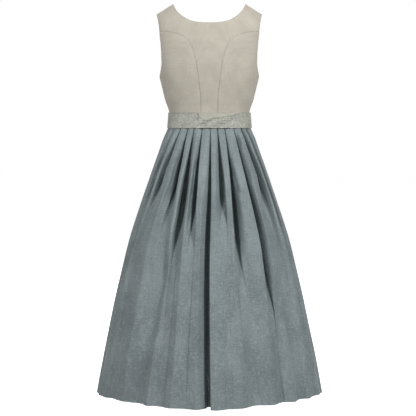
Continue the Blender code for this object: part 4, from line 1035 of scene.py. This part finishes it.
def strip(node, degrees, out, top, bottom, finish, rows=16, rolled=0.0, puckered=0.0):
    """A length of band. Its outer face sinks in soft uneven troughs, its upper edge may roll outwards, and a
    shadow line is painted dark along that edge.
    """
    v = np.linspace(0.0, 1.0, rows)[:, None]
    z = bottom[None] + (top - bottom)[None] * v
    turn, far = np.broadcast_to(degrees[None], z.shape), np.broadcast_to(out[None], z.shape)
    soft = SOFT_TROUGH * (ripples(turn / 16.0, v * 1.2 + 0.0 * turn, 3) - 1.0)
    edge = rolled * np.exp(-((top[None] - z) / ROLL_WIDE) ** 2)
    back = band_place(turn, z, far)
    lift = puckered * puckers(back[..., 0], z) * (back[..., 1] > 0.0)
    face = band_place(turn, z, far + BAND_WALL + soft + edge + lift)
    # upper: the painted shadow line, darkest right along the upper edge
    upper = np.exp(-((top[None] - z) / EDGE_SHADE_WIDE) ** 2)
    piece = lay_out(node + "_cloth", face, back, finish, np.stack([lengths(face, 1), z], axis=2), upper)
    declare(piece, node, area_of(face))


layer = BAND_WALL + SEAM_GAP
turn = np.linspace(BAND_END_ANGLE, 360.0 - BAND_END_ANGLE, 260)
one = np.ones_like(turn)
strip("apron_band", turn, one * SEAM_GAP, one * BAND_TOP, one * BAND_BOTTOM, jacquard)
turn = np.linspace(BAND_END_ANGLE - OVERLAP, KNOT_ANGLE - 360.0 + OVERLAP, 420)
one = np.ones_like(turn)
rise = ease(-turn, *TIE_STEPS["left_rises"])
strip("apron_tie_left", turn, SEAM_GAP + layer * rise, one * (BAND_TOP - TIE_INSET),
      one * (BAND_BOTTOM + TIE_INSET), jacquard_back)
turn = np.linspace(-BAND_END_ANGLE + OVERLAP, KNOT_ANGLE - OVERLAP, 520)
one = np.ones_like(turn)
lift = 1 - ease(turn, -TIE_STEPS["right_lands"][0], -TIE_STEPS["right_lands"][1])
x = band_place(turn, one * BAND_TOP, one * 2 * layer)[:, 0]
drop = np.interp(x, TIE_DIP["x"], TIE_DIP["drop"], left=0.0, right=0.0)
strip("apron_tie_right", turn, SEAM_GAP + layer * (1 + lift), BAND_TOP - drop, one * BAND_BOTTOM,
      jacquard, rows=40, rolled=0.0016, puckered=0.0030)

# %% [markdown]
# ## The apron
# The apron hangs in front in small gathers. They start fine under the band and open as they fall. Their
# spacing drifts a little from one to the next, because gathers are pulled up by hand.

# %% Hang the apron
APRON = {"narrower_at_band": 16.0, "gather": 0.0016, "gather_more": 0.0070, "clear": 0.0008,
         "clear_more": 0.0046, "clear_by": 1 / 16, "rows": 90, "each": 20}
DRIFTS = {"size": [0.9, 0.5], "across": [7.1, 17.0], "down": [1.3, -2.0]}
u = np.linspace(-1.0, 1.0, APRON_GATHERS * APRON["each"] + 1)
face, back = [], []
for z in np.linspace(BAND_BOTTOM - SEAM_GAP, APRON_HEM, APRON["rows"]):
    fall = (BAND_BOTTOM - z) / (BAND_BOTTOM - APRON_HEM)
    degrees = 180.0 + (APRON_HALF_ANGLE - APRON["narrower_at_band"] * (1 - fall) ** 3) * u
    degrees = np.where(degrees > 180.0, degrees - 360.0, degrees)
    tall = APRON["gather"] + APRON["gather_more"] * fall ** 0.5
    drift = sum(size * np.sin(across * u + down * fall) for size, across, down in zip(*DRIFTS.values()))
    turn = math.pi * APRON_GATHERS * (u + 1) + 0.5 * math.pi + drift * (1 - u ** 2)
    wave = tall * (0.5 - 0.5 * np.cos(turn))
    base = APRON["clear"] + APRON["clear_more"] * min(1.0, fall / APRON["clear_by"])
    far = base + wave * (1 - 0.4 * np.abs(u) ** 4)
    ring = skirt_ring(z)
    s = at_turn(ring, degrees)
    for grid, out in ((face, far + SKIRT_WALL), (back, far)):
        grid.append(np.column_stack([on_ring(ring, s, -out), np.full(len(u), z)]))
face, back = np.array(face), np.array(back)
piece = lay_out("apron_panel_cloth", face, back, jacquard)
declare(piece, "apron_panel",
        area_of(face))

# %% [markdown]
# ## The bow
# The ties are knotted at the front, to one side. Places on the bow are given over the skirt's own
# surface: so far across from the knot, so high, and so far out. A table of rings turns them into points.

# %% Tie the bow
KNOT = {"half_wide": 0.015, "half_deep": 0.0105, "half_tall": 0.021, "out": 0.0150, "flat_end": 0.25,
        "round_it": 0.08, "along_it": 0.045}
LOOPS = {
    "name":  ["tie_loop_left", "tie_loop_right"],
    "side":  [1.0, -1.0],
    "droop": [0.42, 0.34],
    "start": [0.0193, 0.0177],
}
LOOP = {"reach": 0.084, "half": 0.011, "half_more": 0.014, "out": 0.0112, "out_more": 0.0165,
        "bulge": 0.0035, "ripple": 0.0012}
ENDS = {
    "name":   ["tie_end_left", "tie_end_right"],
    "side":   [1.0, -1.0],
    "length": [0.34, 0.31],
}
END = {"below_knot": 0.0215, "aside": 0.012, "aside_more": 0.060, "half": 0.010, "half_more": 0.0155,
       "slant": 0.012, "out": 0.0035, "out_more": 0.0180, "curl": 0.0025, "ripple": 0.0010}
ladder = np.linspace(-0.82, -0.36, 70)
rings = [skirt_ring(float(min(z, WAIST_SEAM))) for z in ladder]
ring_points = np.array([np.column_stack([r["x"], r["y"], r["out"]]) for r in rings])
ring_start = np.array([at_turn(r, KNOT_ANGLE) for r in rings])
ring_length = np.array([r["even"][-1] for r in rings])


def bow_place(across, z, out):
    """Bilinear look-up in the table of rings, moved out along the ring's direction."""
    across, z, out = np.broadcast_arrays(across, z, out)
    row = np.interp(z, ladder, np.arange(len(ladder)))
    start, length = np.interp(z, ladder, ring_start), np.interp(z, ladder, ring_length)
    col = np.mod((start + across) / length, 1.0) * (ring_points.shape[1] - 1)
    i, j = np.minimum(row.astype(int), len(ladder) - 2), np.minimum(col.astype(int), ring_points.shape[1] - 2)
    a, b = (row - i)[..., None], (col - j)[..., None]
    low = (1 - b) * ring_points[i, j] + b * ring_points[i, j + 1]
    high = (1 - b) * ring_points[i + 1, j] + b * ring_points[i + 1, j + 1]
    p = (1 - a) * low + a * high
    return np.concatenate([p[..., :2] + out[..., None] * unit(p[..., 2:]), z[..., None]], axis=-1)


knot_z = (BAND_TOP + BAND_BOTTOM) / 2
p = np.linspace(0.0, 1.0, 110)[None]
q = np.linspace(-1.0, 1.0, 26)[:, None]
for name, sign, droop, start in zip(*LOOPS.values()):
    reach = start + LOOP["reach"] * np.sin(math.pi * p) ** 0.8
    half = LOOP["half"] + LOOP["half_more"] * np.sin(math.pi * p) ** 0.7
    far = LOOP["out"] + LOOP["out_more"] * (1 - np.cos(math.pi * p)) / 2
    far = far + LOOP["bulge"] * np.sin(math.pi * p) * np.cos(2.2 * q)
    far = far + LOOP["ripple"] * np.sin(math.pi * p) ** 2 * np.sin(7.0 * q + 3.0 * p + sign)
    side = sign * (reach * math.cos(droop) + q * half * math.sin(droop))
    high = knot_z - (reach - start) * math.sin(droop) + q * half * math.cos(droop)
    face = bow_place(side, high, far)
    piece = lay_out(name + "_cloth", face, face - BAND_WALL * directions(face) * sign, jacquard)
    declare(piece, name, area_of(face))
p = np.linspace(0.0, 1.0, 150)[:, None]
q = np.linspace(-1.0, 1.0, 26)[None]
for name, sign, length in zip(*ENDS.values()):
    half = END["half"] + END["half_more"] * np.minimum(1.0, 3.5 * p) ** 0.7
    side = sign * (END["aside"] + END["aside_more"] * p ** 0.8) + q * half
    high = knot_z - END["below_knot"] - length * p - END["slant"] * q * sign * p
    far = END["out"] + (END["out_more"] + END["curl"] * np.sin(9 * p + sign) * q) * np.minimum(1.0, 4 * p)
    far = far + END["ripple"] * np.sin(5.0 * q + 6.0 * p) * np.minimum(1.0, 2 * p)
    face = bow_place(side, high, far + BAND_WALL)
    n = directions(face)
    back = face + BAND_WALL * n * (1.0 if n[0, 2, 1] > 0 else -1.0)
    piece = lay_out(name + "_cloth", face, back, jacquard)
    declare(piece, name, area_of(face))

# The knot is a flattened bead of wrapped cloth, with slanting ridges where the tie goes round.
a = np.linspace(0.0, 2 * math.pi, 65)[None]
b = np.linspace(-math.pi / 2 + KNOT["flat_end"], math.pi / 2 - KNOT["flat_end"], 30)[:, None]
swell = np.cos(b) ** 0.6 * (1 - 0.03 * (1 + np.sin(9.0 * b + 2.0 * np.sin(a))) / 2)
grid = bow_place(KNOT["half_wide"] * swell * np.cos(a), knot_z + KNOT["half_tall"] * np.sin(b) + 0.0 * a,
                 KNOT["out"] + KNOT["half_deep"] * swell * np.sin(a))
ends = [np.repeat(grid[k:k + 1].mean(axis=1, keepdims=True), grid.shape[1], axis=1) for k in (0, -1)]
grid = np.concatenate([ends[0], 0.5 * (ends[0] + grid[:1]), grid, 0.5 * (ends[1] + grid[-1:]), ends[1]])
rows, cols = grid.shape[:2]
index = np.arange(rows * cols).reshape(rows, cols)
faces = face_grid(index)
uv = np.meshgrid(np.linspace(0.0, KNOT["round_it"], cols), np.linspace(0.0, KNOT["along_it"], rows))
uv = np.stack(uv, axis=-1).reshape(-1, 2)
knot = sew("tie_knot_cloth", grid.reshape(-1, 3), faces, uv, jacquard)
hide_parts("tie_knot")
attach(knot, "root")
print("knot:", len(faces), "faces")

# %% [markdown]
# ## Floor, light and camera
# The dress hangs a hand's breadth above a pale floor in a white room, as in a shop's picture. Two large
# soft lights stand to the left and right of the camera, so that the panels are bright and the floors of
# the folds, which neither light reaches, stay dark. The room and the floor look white to the camera, but
# the room gives only a weak light of its own, and the floor throws none back on to the cloth.

# %% Floor
FLOOR_HALF, FLOOR_LEVEL = 20.0, -1.46
floor_mesh = bpy.data.meshes.new("floor")
corners = [(x * FLOOR_HALF, y * FLOOR_HALF, FLOOR_LEVEL) for x, y in ((-1, -1), (1, -1), (1, 1), (-1, 1))]
floor_mesh.from_pydata(corners, [], [(0, 1, 2, 3)])
floor = new_object("floor", floor_mesh)
paper = Finish("floor_paper", 0.9, 0.0)
grain = paper.noise(paper.node("ShaderNodeTexCoord", out=3), 6.0, 3.0)
white = paper.mix((0.93, 0.93, 0.93, 1.0), (0.96, 0.96, 0.955, 1.0), grain)
paper.feed(paper.shader.inputs["Base Color"], white)
paper.shader.inputs["Emission Color"].default_value = (1.0, 1.0, 1.0, 1.0)
paper.shader.inputs["Emission Strength"].default_value = 0.78
floor_mesh.materials.append(paper.material)
floor.visible_diffuse = False
floor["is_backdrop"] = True

# %% Light
def aimed(name, data, place, target):
    """A light or camera in its place, turned to look at a point."""
    thing = new_object(name, data)
    thing.location = place
    thing.rotation_euler = (Vector(target) - Vector(place)).to_track_quat("-Z", "Y").to_euler()
    return thing


LIGHTS = {
    "name":   ["right of the camera", "left of the camera", "front of the dress"],
    "place":  [(-2.7, 2.9, 1.6), (2.6, 3.0, 1.5), (0.3, -3.8, 1.4)],
    "target": [(0.0, 0.0, -0.4), (0.0, 0.0, -0.4), (0.0, 0.0, -0.6)],
    "size":   [1.0, 1.0, 2.2],
    "watts":  [200.0, 138.0, 100.0],
}
ROOM_LIGHT, ROOM_SEEN = 0.22, 1.0
for name, place, target, size, watts in zip(*LIGHTS.values()):
    lamp = bpy.data.lights.new(name, "AREA")
    lamp.size, lamp.energy = size, watts
    aimed(name, lamp, place, target)
world = bpy.data.worlds.new("white_room")
world.use_nodes = True
room = world.node_tree
seen = room.nodes.new("ShaderNodeLightPath")
strength = room.nodes.new("ShaderNodeMapRange")
strength.inputs["To Min"].default_value, strength.inputs["To Max"].default_value = ROOM_LIGHT, ROOM_SEEN
room.links.new(seen.outputs["Is Camera Ray"], strength.inputs["Value"])
room.links.new(strength.outputs["Result"], room.nodes["Background"].inputs["Strength"])
room.nodes["Background"].inputs["Color"].default_value = (1.0, 1.0, 1.0, 1.0)
bpy.context.scene.world = world
bpy.context.scene.view_settings.view_transform = "Standard"

# %% Camera
lens = bpy.data.cameras.new("camera")
lens.lens, lens.sensor_width, lens.clip_end = 105.3, 36.0, 100.0
EYE, AIM = (0.0045, 4.2, -0.40), (0.0045, 0.0, -0.699)
camera = aimed("camera", lens, EYE, AIM)
bpy.context.scene.camera = camera
print("camera", tuple(round(k, 3) for k in camera.location))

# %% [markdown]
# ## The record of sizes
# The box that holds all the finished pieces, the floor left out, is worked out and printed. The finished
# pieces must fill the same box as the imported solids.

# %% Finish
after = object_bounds()
print("after", [[round(float(k), 4) for k in corner] for corner in after])
